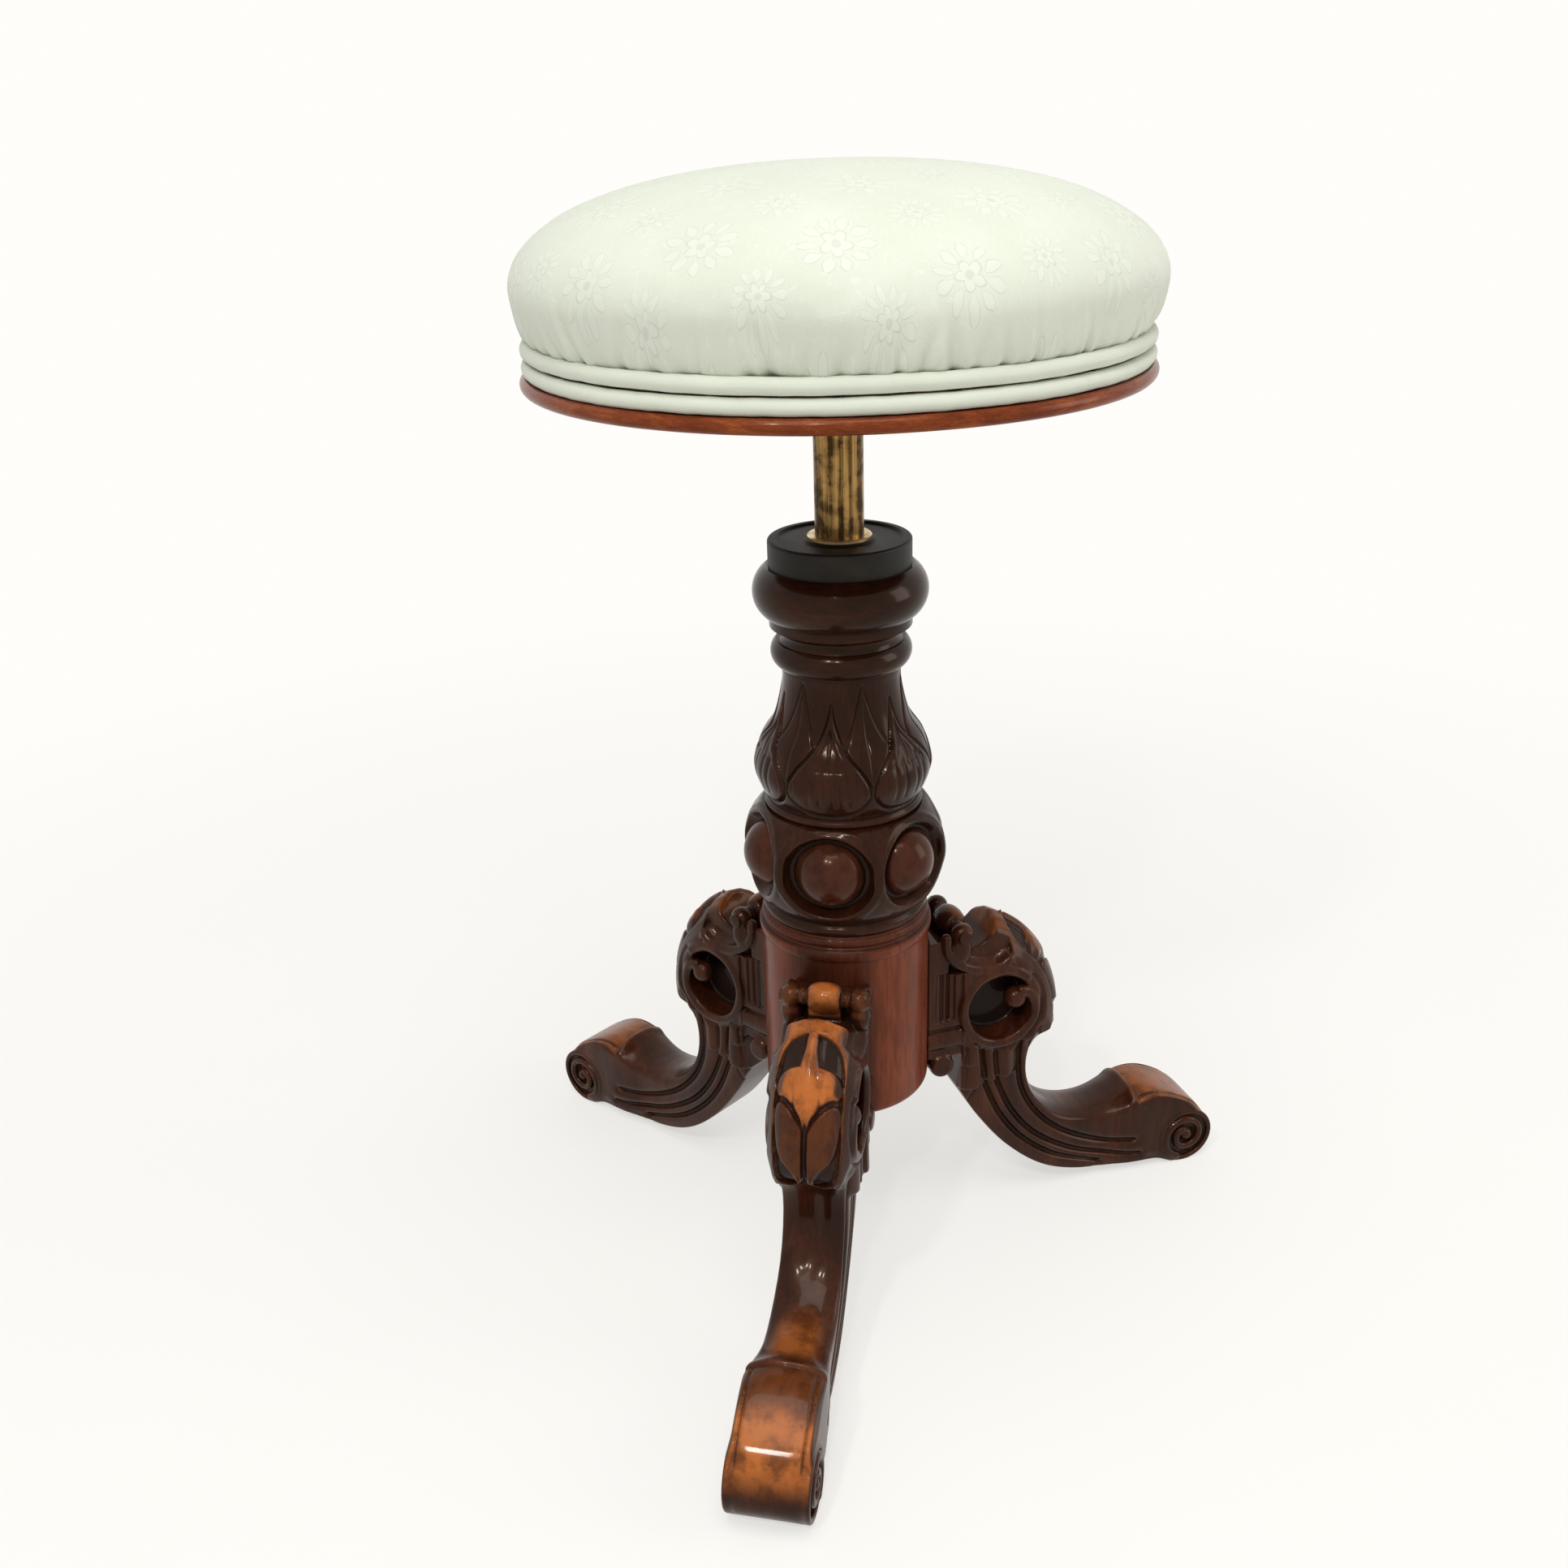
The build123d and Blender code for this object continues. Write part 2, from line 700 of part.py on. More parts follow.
def bay_crown_body():
    """Cuts the hollow's edges back, so that shin and crest are crowned across the leg."""
    (centre_u, centre_v), radius, _ = bay_circle()
    half = foot_width
    section = outline(
        (0, -half),
        (radius + 20.0, -half),
        [(radius + 9.0, -foot_width / 2), (radius + 2.6, -10.0), (radius - 0.3, 0),
         (radius + 2.6, 10.0), (radius + 9.0, foot_width / 2), (radius + 20.0, half)],
        (0, half),
    )
    return Pos(centre_u, 0, centre_v) * revolve(section, Axis.Y)


def foot_trim():
    """What the foot loses so that its pad is crowned across the leg."""
    half = foot_width / 2
    section = crown_section(45.0, half, [(8.0, 1.8), (15.0, 5.5), (half, 11.0)])
    pad = Pos(foot_reach - 43.0, 0, foot_eye_z - 3.0) * revolve(section, Axis.Y)
    zone = Pos(crest_u + 31.0, 0, 40.0) * Box(60.0, 2 * foot_width, 80.0)
    return zone - pad


def lower_outline():
    """Shin and foot, from inside the knee out to the toe and back along the underside."""
    toe, deepest = foot_reach, bay_circle()[2]
    heel, back = (toe - 62.0, 6.0), (eye_u - 23.0, eye_v - 48.5)
    return outline(
        (eye_u + 13.0, eye_v - 10.5),
        (lip_u, lip_v),
        (deepest, (crest_u, crest_z)),
        [(toe - 46.0, crest_z - 1.5), (toe - 30.0, 51.5), (toe - 10.0, 38.5), (toe, 19.0),
         (toe - 6.5, 5.5), (toe - 18.0, 0.0)],
        (toe - 28.0, 0.0),
        [(toe - 40.0, 4.6), heel, part_way(heel, back, 0.265, 0.035), part_way(heel, back, 0.496, 0.157),
         part_way(heel, back, 0.709, 0.407), part_way(heel, back, 0.88, 0.715), back],
        (eye_u - 21.0, eye_v - 15.5),
    )


def plan_outline():
    """The leg seen from above: the shin widens in a sweep to the foot."""
    half, toe_half = shin_width / 2, foot_width / 2
    end, ankle, shin = foot_reach + 5.0, foot_reach - 50.0, foot_reach - 84.0
    return outline(
        (drum_r - 17.0, -half),
        (shin, -half),
        [(shin + 18.0, -half - 0.8), (ankle, -toe_half)],
        (end, -toe_half),
        (end, toe_half),
        (ankle, toe_half),
        [(shin + 18.0, half + 0.8), (shin, half)],
        (drum_r - 17.0, half),
    )


def bobbin():
    """Turned roll across the top of the leg: a middle bead, two necks and two end balls."""
    end_w, bead_foot = bobbin_l / 2 - bobbin_end_r, bobbin_neck_r - 1
    bead = outline((bead_foot, -bobbin_bead_r), ((bobbin_bead_r, 0), (bead_foot, bobbin_bead_r)))
    roll = Rot(90, 0, 0) * (Cylinder(bobbin_neck_r, 2 * end_w) + turned(bead))
    for side in (-1, 1):
        roll += ball_across(0, side * end_w, 0, bobbin_end_r)
    web = Pos(0, 0, -8.0) * Box(7.0, 22.0, 12.0)
    return Pos(bobbin_u, 0, bobbin_v) * (roll + web)


def drop():
    """Small carved pendant under the block, beside the drum."""
    inner, outer, top, low = drum_r + 0.9, drum_r + 10.5, eye_v - 21.5, eye_v - 32.5
    face = outline((inner, top), (inner, low), ((inner + 4.4, low - 4.4), (outer - 0.3, low)), (outer, top))
    return across(face, leg_width - 8)


def volute(leg, side, centre, outer_half, rim_r, pocket, ball):
    """Adds a raised rim on one side of the leg, sinks its eye and leaves a ball in it."""
    (u, v), (pocket_u, pocket_v, pocket_r, depth), (ball_u, ball_v, ball_r) = centre, pocket, ball
    rim, floor = outer_half + rim_proud, outer_half + rim_proud - depth
    leg += disc_across(u, v, rim_r, *sorted((side * (floor - 5), side * rim)))
    leg -= disc_across(u + pocket_u, v + pocket_v, pocket_r, *sorted((side * floor, side * (rim + 5))))
    return leg + ball_across(u + ball_u, side * (rim - ball_r), v + ball_v, ball_r)


def make_leg(azimuth):
    lower = across(lower_outline(), foot_width + 10) & extrude(plan_outline(), 1.5 * eye_v)
    lower = lower - bay_crown_body() - foot_trim()
    leg = across(block_outline(), leg_width)
    leg += across(knee_outline(), knee_width) & knee_crown_body()
    leg += lower
    leg += drop()
    leg += bobbin()
    for side in (-1, 1):
        leg = volute(leg, side, (eye_u, eye_v), knee_width / 2, eye_rim_r,
                     (2.5, 2.0, eye_r, eye_depth), (9.5, 4.5, eye_ball_r))
        leg = volute(leg, side, (foot_eye_u, foot_eye_z), foot_width / 2, foot_rim_r,
                     (1.5, 0.0, foot_eye_r, foot_eye_depth), (2.0, 0.0, foot_ball_r))
    leg -= turned(drum_outline(glue_gap))
    leg -= Pos(0, 0, -50) * Box(4 * foot_reach, 4 * foot_reach, 100)
    for height in dowel_heights:
        leg -= radial_rod(dowel_r + glue_gap, 0, drum_r + dowel_l / 2 + glue_gap, height, 0)
    return Rot(0, 0, azimuth) * leg


def make_base_plate():
    plate = bevelled_ring(screw_r + glue_gap, base_plate_r, base_plate_z, base_plate_h)
    for hole in base_screw_holes:
        plate -= hole
    return plate


def make_dowels():
    pins = []
    for azimuth in leg_azimuths.values():
        for height in dowel_heights:
            pins.append(radial_rod(dowel_r, drum_r - dowel_l / 2, drum_r + dowel_l / 2, height, azimuth))
    return pins


nodes = {
    "leg_drum": make_drum(),
    "roundel_block": make_roundel_block(),
    "vase": make_vase(),
    "capital": make_capital(),
    "column_cap": make_cap(),
    "guide_bush": make_bush(),
    "leg_dowels": make_dowels(),
    "base_plate": make_base_plate(),
    "base_plate_screws": slotted_screws(base_plate_z, base_screw_circle_r, base_screw_azimuths),
    "lifting_screw": make_screw(),
    "screw_lock_nut": hexagon(lock_nut_r, drum_foot_z, lock_nut_h, screw_r + glue_gap),
    "screw_jam_nut": hexagon(lock_nut_r, base_plate_z - lock_nut_h, lock_nut_h, screw_r + glue_gap),
    "stop_washer": ring(screw_r + glue_gap, stem_r - stem_wall - washer_play, stop_z, washer_h),
    "split_pin": cross_rod(split_pin_r, screw_r + split_pin_end, split_pin_z),
    "steady_ring": ring(stem_r + run_gap, bore_r - run_gap, stem_foot_z + face_gap, steady_ring_h),
    "stem_tube": make_stem(),
    "lift_nut": make_lift_nut(),
    "nut_pins": [radial_rod(nut_pin_r, screw_r + 2 * face_gap, stem_r - glue_gap, nut_pin_z, azimuth)
                 for azimuth in nut_pin_azimuths],
    "ring_clip": make_clip(),
    "seat_plate": make_plate(),
    "stem_pin": cross_rod(stem_pin_r, boss_r - 1, stem_pin_z),
    "seat_plate_screws": slotted_screws(plate_z, plate_screw_circle_r, plate_screw_azimuths),
    "seat_board": make_board(),
    "seat_ring": make_seat_ring(),
    "ring_screws": slotted_screws(board_z, ring_screw_circle_r, ring_screw_azimuths),
    "cross_rail": make_rail(),
    "webbing_lower": web_strips(ring_top_z, 0.0),
    "webbing_upper": web_strips(ring_top_z + web_h, 90.0),
    "hessian": ring(0, seat_ring_r - 1.0, web_top_z, hessian_h),
    "stuffing_pad": dome(cover_h + wadding_h + 0.4, pad_z),
    "wadding": dome(cover_h + 0.2, pad_z, wadding_h),
    "seat_cover": make_cover(),
    "piping_upper": make_cord(cord_upper_z),
    "piping_lower": make_cord(cord_lower_z),
    "cover_tacks": make_tacks(),
}
for leg_name, leg_azimuth in leg_azimuths.items():
    nodes[leg_name] = make_leg(leg_azimuth)

os.makedirs("parts", exist_ok=True)
for node_name, shape in nodes.items():
    if isinstance(shape, list):
        shape = Compound(children=[piece for item in shape for piece in item.solids()])
    export_step(shape, f"parts/{node_name}.step")
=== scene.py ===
"""Looks of the revolving piano stool: carved legs and column, damask cushion with double cord.

Blender's own lengths are in metres. The places read from the frame, and all that is carved or shaped
from them, are in millimetres. A leg is drawn in its own plane: u outwards, v upwards and w across.
"""
from cmath import phase, rect
from math import cos, pi, radians, sin, tau

import bpy
import numpy as np
from mathutils import Matrix, Vector


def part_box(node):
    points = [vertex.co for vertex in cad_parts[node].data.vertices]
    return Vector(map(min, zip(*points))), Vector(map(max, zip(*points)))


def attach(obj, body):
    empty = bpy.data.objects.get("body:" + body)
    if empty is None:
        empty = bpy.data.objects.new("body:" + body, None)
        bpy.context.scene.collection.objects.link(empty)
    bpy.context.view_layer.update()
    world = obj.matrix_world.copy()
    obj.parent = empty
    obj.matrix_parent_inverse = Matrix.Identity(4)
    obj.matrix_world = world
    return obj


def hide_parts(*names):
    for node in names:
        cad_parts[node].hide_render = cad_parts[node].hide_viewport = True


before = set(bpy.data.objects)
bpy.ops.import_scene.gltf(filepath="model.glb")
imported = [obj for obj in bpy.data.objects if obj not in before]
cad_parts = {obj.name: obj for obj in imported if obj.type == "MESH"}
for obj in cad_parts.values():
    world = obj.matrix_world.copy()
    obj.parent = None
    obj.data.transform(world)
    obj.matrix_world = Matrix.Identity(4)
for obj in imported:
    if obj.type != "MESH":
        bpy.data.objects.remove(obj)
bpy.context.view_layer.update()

MM = 0.001


# ---------- places from the frame
def span(node, axis):
    """Lowest and highest coordinate of a node along an axis, in millimetres."""
    low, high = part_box(node)
    return low[axis] / MM, high[axis] / MM


drum_lip = 1.5                                   # how far the lip stands out from the drum's wall
drum_r = span("leg_drum", 0)[1] - drum_lip
drum_low, drum_high = span("leg_drum", 2)
first_leg = -90.0                                # azimuth of the front leg and of the first roundel
leg_azimuths = {"leg_front": first_leg, "leg_right": 30.0, "leg_left": 150.0}
leg_half, knee_half, shin_half, foot_half = 21.0, 23.0, 18.2, 21.5
toe = -span("leg_front", 1)[0]
eye_u, eye_v = drum_r + 39.7, drum_low + 32.5    # middle of the knee's eye
ring = eye_u + 1.2, eye_v + 4.6                  # middle of the volute round it
knee, knee_r = (eye_u - 27.0, eye_v - 9.0), 75.4
peak_angle, leaf_r = radians(66.0), 74.0         # where the knee's leaf starts, and its own radius
bobbin = bobbin_u, bobbin_v = eye_u - 22.5, eye_v + 57.5
lip = lip_u, lip_v = eye_u + 30.5, eye_v - 25.0
crest = crest_u, crest_v = toe - 57.0, 59.0
bay_depth = 34.0
foot_eye, foot_eye_r = (toe - 19.4, 19.2), 18.2
pad, pad_r = (toe - 43.0, 14.2), 45.0

bore_r = 17.6
spigot_h, vase_bead_h = 14.0, 4.0
band_low, band_high = drum_high, span("vase", 2)[0]
band_r = span("roundel_block", 0)[1]
vase_foot, neck_z = band_high + vase_bead_h, span("vase", 2)[1] - spigot_h
roundels = 6

ring_top = span("seat_ring", 2)[1]
crown_z = span("seat_cover", 2)[1]
cushion_r = span("seat_cover", 0)[1]


# ---------- meshes
def add_object(name, data):
    """New object in the scene."""
    piece = bpy.data.objects.new(name, data)
    bpy.context.scene.collection.objects.link(piece)
    return piece


def add_mesh(name, points, faces):
    """New smooth object from points in metres and a list or array of faces."""
    mesh = bpy.data.meshes.new(name)
    mesh.from_pydata(np.asarray(points).tolist(), [], [list(face) for face in faces])
    mesh.update()
    mesh.shade_smooth()
    return add_object(name, mesh)


def point_values(piece, key):
    """The "co" (place) or "normal" of each of a piece's points."""
    flat = np.empty(3 * len(piece.data.vertices))
    piece.data.vertices.foreach_get(key, flat)
    return flat.reshape(-1, 3)


def put_points(piece, points):
    """Moves a piece's points to their new places."""
    piece.data.vertices.foreach_set("co", points.ravel())
    piece.data.update()


def set_attribute(piece, name, values):
    """Stores a number or a vector for each point, which the materials read."""
    kind, key = ("FLOAT", "value") if np.ndim(values) == 1 else ("FLOAT_VECTOR", "vector")
    layer = piece.data.attributes.new(name, kind, "POINT")
    layer.data.foreach_set(key, np.asarray(values, dtype=np.float32).ravel())


def relax(points, faces, rounds):
    """Points moved to the mean of their neighbours, a number of times."""
    edges = np.stack([faces, np.roll(faces, -1, 1)], -1).reshape(-1, 2)
    start, end = np.concatenate([edges, edges[:, ::-1]]).T
    degree = np.maximum(np.bincount(start, minlength=len(points)), 1)[:, None]
    for _ in range(rounds):
        total = [np.bincount(start, points[end, axis], len(points)) for axis in range(3)]
        points = np.stack(total, 1) / degree
    return points


def fair(points, faces, rounds=3):
    """Points with the grid's fine unevenness taken out, while the form keeps its size."""
    shrink, grow = 0.60, -0.63
    for share in (shrink, grow) * rounds:
        points = points + share * (relax(points, faces, 1) - points)
    return points


def add_shade_and_wear(piece, points, faces, wear_and_highlight, grain, rounds=6, least_darkening=-9.0):
    """What the woods read: hollows in millimetres, at least the given darkening, which the woods paint as
    shade; then wear, in places also a painted highlight; and the grain's place.
    """
    moved = relax(points, faces, rounds) - points
    cavity = (moved * point_values(piece, "normal")).sum(1) / MM
    set_attribute(piece, "cavity", np.maximum(cavity, least_darkening))
    set_attribute(piece, "wear_and_highlight", np.broadcast_to(wear_and_highlight, len(points)))
    set_attribute(piece, "grain_place", grain)


# ---------- surface of a carved grid
def grid(low, high, step):
    """Axes of a grid between two corners, shaped so that they combine into the whole grid."""
    count = np.ceil((np.array(high) - low) / step).astype(int)
    axes = [first + step * np.arange(number, dtype=np.float32) for first, number in zip(low, count)]
    return np.meshgrid(*axes, indexing="ij", sparse=True)


def crossing_means(field, cells):
    """Mean place, from each cell's corner, at which its edges cross the zero level."""
    total, number = np.zeros((len(cells), 3)), np.zeros(len(cells))
    for axis, unit in enumerate(np.eye(3, dtype=int)):
        for corner in np.ndindex(2, 2, 2):
            if corner[axis]:
                continue
            near_end, far_end = cells + corner, cells + corner + unit
            a, b = field[tuple(near_end.T)], field[tuple(far_end.T)]
            cross = (a < 0) != (b < 0)
            share = a[cross] / (a[cross] - b[cross])
            total[cross] += np.array(corner) + share[:, None] * unit
            number[cross] += 1
    return total / number[:, None]


def crossing_quads(inside, index):
    """A quad round each grid edge that crosses the zero level, facing outwards."""
    quads = []
    for axis in range(3):
        low = np.take(inside, range(inside.shape[axis] - 1), axis)
        high = np.take(inside, range(1, inside.shape[axis]), axis)
        edges = np.argwhere(low != high)
        others = [a for a in range(3) if a != axis]
        within = [(edges[:, a] > 0) & (edges[:, a] < inside.shape[a] - 1) for a in others]
        edges = edges[np.all(within, axis=0)]
        first, second = np.eye(3, dtype=int)[others]
        around = [edges - first - second, edges - second, edges, edges - first]
        quad = np.stack([index[tuple(cell.T)] for cell in around], 1)
        outward = low[tuple(edges.T)] ^ (axis == 1)
        quad[~outward] = quad[~outward][:, ::-1]
        quads.append(quad)
    return np.concatenate(quads)


def surface_net(field, origin, step):
    """Points and quads of the zero level of a grid of signed distances, negative inside."""
    inside = field < 0
    a, b, c = np.array(field.shape) - 1
    filled = np.zeros((a, b, c), np.uint8)
    for i, j, k in np.ndindex(2, 2, 2):
        filled += inside[i:a + i, j:b + j, k:c + k]
    active = (filled > 0) & (filled < 8)
    cells = np.argwhere(active)
    index = np.full(active.shape, -1, np.int64)
    index[active] = np.arange(len(cells))
    quads = crossing_quads(inside, index)
    return fair(origin + step * (cells + crossing_means(field, cells)), quads), quads


# ---------- carving in millimetres
def smooth_max(a, b, soft):
    """Greater of two distances, rounded over a width where they meet."""
    blend = np.clip(0.5 + 0.5 * (a - b) / soft, 0, 1)
    return b + (a - b) * blend + soft * blend * (1 - blend)


def smooth_min(a, b, soft):
    """Smaller of two distances, rounded alike."""
    return -smooth_max(-a, -b, soft)


def ease(low, high, value):
    """Smooth step from 0 at the low level to 1 at the high one, which may lie below it."""
    t = np.clip((value - low) / (high - low), 0, 1)
    return t * t * (3 - 2 * t)


def bump(value, centre, half):
    """Rounded ridge of height 1 about a centre."""
    return np.sqrt(np.clip(1 - ((value - centre) / half) ** 2, 0, 1))


def trough(distance, half):
    """Rounded groove or ridge of depth 1 along a line."""
    return np.exp(-((distance / half) ** 2))


def arc(start, middle, end, steps=14):
    """Points of the circle through three points, without the first one."""
    a, b, c = (complex(*point) for point in (start, middle, end))
    ratio = (c - a) / (b - a)
    centre = a + (b - a) * (ratio - abs(ratio) ** 2) / (2j * ratio.imag)
    half, sweep = (phase((point - centre) / (a - centre)) % tau for point in (b, c))
    if half > sweep:
        sweep -= tau
    turned = [centre + (a - centre) * rect(1, sweep * i / steps) for i in range(1, steps + 1)]
    return [(point.real, point.imag) for point in turned]


def curve(points, steps=8):
    """Smooth curve through points, without the first one."""
    points = np.array(points)
    p = np.array([2 * points[0] - points[1], *points, 2 * points[-1] - points[-2]])
    a, b, c, d = (p[i:len(p) - 3 + i, None] for i in range(4))
    t = np.arange(1, steps + 1)[:, None] / steps
    way = 2 * b + (c - a) * t + (2 * a - 5 * b + 4 * c - d) * t**2 + (3 * b - a - 3 * c + d) * t**3
    return [tuple(point) for point in way.reshape(-1, 2) / 2]


def smooth_profile(z, heights, radii):
    """Radius at each height z, along the smooth curve through a short list of them."""
    line = np.array([(heights[0], radii[0])] + curve(list(zip(heights, radii)), 10))
    return np.interp(z, line[:, 0], line[:, 1])


def path(start, *moves):
    """Outline from points, (middle, end) arcs and lists of points for smooth curves."""
    points = [start]
    for move in moves:
        if isinstance(move, list):
            points += curve([points[-1]] + move)
        elif isinstance(move[0], tuple):
            points += arc(points[-1], *move)
        else:
            points.append(move)
    return np.array(points)


def mirrored(*half):
    """Closed smooth outline from its right half, which starts and ends on the middle line."""
    right = [half[0]] + curve(half)
    return right + [(-x, y) for x, y in reversed(right[1:-1])]


def distance_to_line(u, v, points, closed):
    """Distance of grid points to a polyline, and whether they lie inside it."""
    ends = np.roll(points, -1, 0) if closed else points[1:]
    shape = np.broadcast(u, v).shape
    best, inside = np.full(shape, 1e9), np.zeros(shape, bool)
    for (au, av), (bu, bv) in zip(points, ends):
        du, dv = bu - au, bv - av
        t = np.clip(((u - au) * du + (v - av) * dv) / max(du * du + dv * dv, 1e-9), 0, 1)
        best = np.minimum(best, (u - au - t * du) ** 2 + (v - av - t * dv) ** 2)
        if av != bv:
            inside ^= ((av > v) != (bv > v)) & (u < du * (v - av) / (bv - av) + au)
    return np.sqrt(best), inside


def away(u, v, place):
    """Distance of grid points from a place."""
    return np.hypot(u - place[0], v - place[1])


def near(u, v, line):
    """Distance of grid points from a line."""
    return distance_to_line(u, v, np.array(line), False)[0]


def signed(u, v, outline):
    """Signed distance to a closed outline, negative inside."""
    distance, inside = distance_to_line(u, v, np.array(outline), True)
    return np.where(inside, -distance, distance)


def raised(u, v, outline, edge):
    """Height of 1 inside a closed outline, rounded down to 0 at its edge over that width."""
    depth = np.clip(-signed(u, v, outline) / edge, 0, 1)
    return np.sqrt(1 - (1 - depth) ** 2)


# ---------- outlines of the carved leg
def bay_circle():
    """Centre, radius and deepest point of the round hollow between knee and foot."""
    start, end = complex(*lip), complex(*crest)
    chord = abs(end - start)
    inward = (end - start) / chord * -1j
    radius = (chord**2 / 4 + bay_depth**2) / (2 * bay_depth)
    deepest = (start + end) / 2 + bay_depth * inward
    centre = deepest - radius * inward
    return (centre.real, centre.imag), radius, (deepest.real, deepest.imag)


bay, bay_r, bay_deepest = bay_circle()

# the block that is seated on the drum and cradles the turned roll, drawn from the eye's middle
block_outline = (eye_u, eye_v) + path(
    (-51.7, -22.5), (-51.7, 55.0), (-37.7, 55.0), ((-32.5, 52.0), (-29.0, 44.0)), (-17.0, 44.0),
    (0.0, 44.0), (0.0, -22.5))

# the knee from the roll over the peak to the lip, drawn from the eye's middle
knee_outline = (eye_u, eye_v) + path(
    (-22.5, 44.6), (-17.0, 44.6), ((-5.0, 49.1), (1.5, 59.5)), ((4.5, 62.0), (10.0, 58.5)),
    ((34.5, 33.5), (47.0, -4.5)), ((46.0, -13.5), (39.0, -19.0)), (30.5, -25.0), (18.0, -44.0),
    (-22.5, -48.5))

# shin and foot, with the calf's curve in shares of the way from the heel up to its back
heel, back = (toe - 62.0, 6.0), (eye_u - 23.0, eye_v - 48.5)
calf = [(heel[0] + (back[0] - heel[0]) * along, heel[1] + (back[1] - heel[1]) * up)
        for along, up in ((0.265, 0.035), (0.496, 0.157), (0.709, 0.407), (0.88, 0.715))]
lower_outline = path(
    (eye_u + 13.0, eye_v - 10.5), lip, (bay_deepest, crest),
    [(toe - 46.0, 57.5), (toe - 30.0, 51.5), (toe - 10.0, 38.5), (toe - 0.4, 19.0), (toe - 6.5, 5.5),
     (toe - 18.0, 0.3)],
    (toe - 28.0, 0.3), [(toe - 40.0, 4.8), heel, *calf, back], (eye_u - 21.0, eye_v - 15.5))


def eye_curve(points, steps=8):
    """Smooth curve through points that are given from the eye's middle."""
    return curve((eye_u, eye_v) + np.array(points), steps)


def foot_spiral():
    """Spiral of the foot's volute, wound inwards from its lower side."""
    turns = np.linspace(0, 1, 60)
    radius = foot_eye_r - 3.0 - (foot_eye_r - 8.0) * turns
    angle = radians(250.0) - radians(500.0) * turns
    return foot_eye + np.stack([radius * np.cos(angle), radius * np.sin(angle)], 1)


eye_scroll = eye_curve([(19.5, 22.0), (11.0, 28.4), (1.5, 30.0), (-13.0, 25.2), (-21.6, 10.5),
                        (-18.5, -6.0), (-9.5, -16.0), (2.0, -19.6), (14.0, -17.0), (22.5, -8.0),
                        (24.4, 2.0), (21.0, 10.8), (15.5, 13.6)], 6)
cradle_scroll = eye_curve([(-33.0, 59.0), (-32.6, 50.0), (-27.6, 41.6), (-18.5, 35.4), (-8.0, 32.4),
                           (1.0, 32.6), (7.0, 36.0)], 6)
reed_grooves = [eye_curve(points, 5) for points in (
    [(17.0, -20.0), (17.6, -40.0), (20.5, -60.0), (31.0, -80.0), (50.0, -98.5), (77.0, -112.5),
     (100.0, -117.0)],
    [(-0.3, -23.0), (1.0, -40.0), (5.5, -56.0), (15.5, -77.0), (32.0, -97.0), (58.0, -114.5),
     (88.0, -125.0), (104.0, -128.0)],
    [(-9.5, -20.0), (-7.5, -38.0), (-3.5, -53.0), (6.5, -76.0), (22.0, -97.0), (45.0, -115.5),
     (76.0, -128.5)])]
husk = eye_curve([(-19.5, -17.5), (-12.5, -18.0), (-9.5, -32.0), (-10.5, -46.0), (-15.5, -58.0),
                  (-20.0, -63.0), (-21.5, -44.0), (-19.5, -17.5)])


# ---------- relief of the carved leg
table_w, table_s, table_step = -26.0, -4.0, 0.35     # the knee tables' first places and their pitch


def knee_tables():
    """Relief and golden wear of the knee's front, on a grid of w across and s down from the peak."""
    w, s = np.meshgrid(np.arange(table_w, 26.01, table_step), np.arange(table_s, 116, table_step),
                       indexing="ij")
    field = mirrored((0, 7.0), (9.5, 9.2), (15.0, 14.5), (17.6, 25.0), (18.2, 42.0), (18.0, 70.0),
                     (15.5, 92.0), (7.0, 99.0), (0, 101.0))
    nose = mirrored((0, 6.0), (3.6, 9.0), (4.0, 16.0), (5.6, 25.0), (6.4, 36.0), (4.0, 48.0), (0, 56.0))
    lobe = curve([(1.0, 24.0), (6.5, 25.5), (12.0, 27.0), (16.5, 31.0), (17.8, 37.5), (16.5, 42.0),
                  (12.5, 42.5), (8.0, 46.0), (4.0, 52.0), (0.4, 58.0), (0.2, 40.0), (1.0, 24.0)])
    petal = curve([(1.0, 60.0), (4.5, 53.5), (9.0, 48.0), (14.0, 45.0), (17.4, 48.0), (17.6, 60.0),
                   (15.4, 74.0), (9.0, 85.0), (2.4, 95.0), (0.9, 80.0), (1.0, 60.0)])
    almond = curve([(3.2, 90.0), (7.0, 83.0), (12.6, 79.0), (15.0, 82.0), (12.0, 90.0), (6.0, 95.5),
                    (3.2, 90.0)])
    far = np.abs(w)
    inside = raised(w, s, field, 1.6)
    upper = np.maximum(4.1 * raised(w, s, nose, 4.4),
                       3.7 * raised(far, s, lobe, 5.0) - 0.9 * trough(far - 7.5, 1.0) * (s > 33))
    lower = 2.7 * raised(far, s, petal, 2.6) + 0.8 * raised(far, s, petal, 1.5)
    lower -= 0.8 * raised(far, s, petal, 5.5) + 2.6 * raised(far, s, almond, 1.8)
    edge = 1.4 * trough(s - 99.0, 2.4) * ease(19, 16, far)
    gold = np.maximum.reduce([ease(86, 52, s) * (1 - inside),
                              np.clip(upper / 2.4, 0, 1) * ease(64, 48, s),
                              0.12 * np.clip(lower / 2.5, 0, 1)])
    return np.maximum.reduce([upper, lower, edge]) - 3.0 * inside, gold


def look_up(table, w, s):
    """Value of a knee table at places w, s, in between its own places."""
    x = np.clip((w - table_w) / table_step, 0, table.shape[0] - 1.01)
    y = np.clip((s - table_s) / table_step, 0, table.shape[1] - 1.01)
    i, j = x.astype(int), y.astype(int)
    x, y = x - i, y - j
    return ((table[i, j] * (1 - x) + table[i + 1, j] * x) * (1 - y)
            + (table[i, j + 1] * (1 - x) + table[i + 1, j + 1] * x) * y)


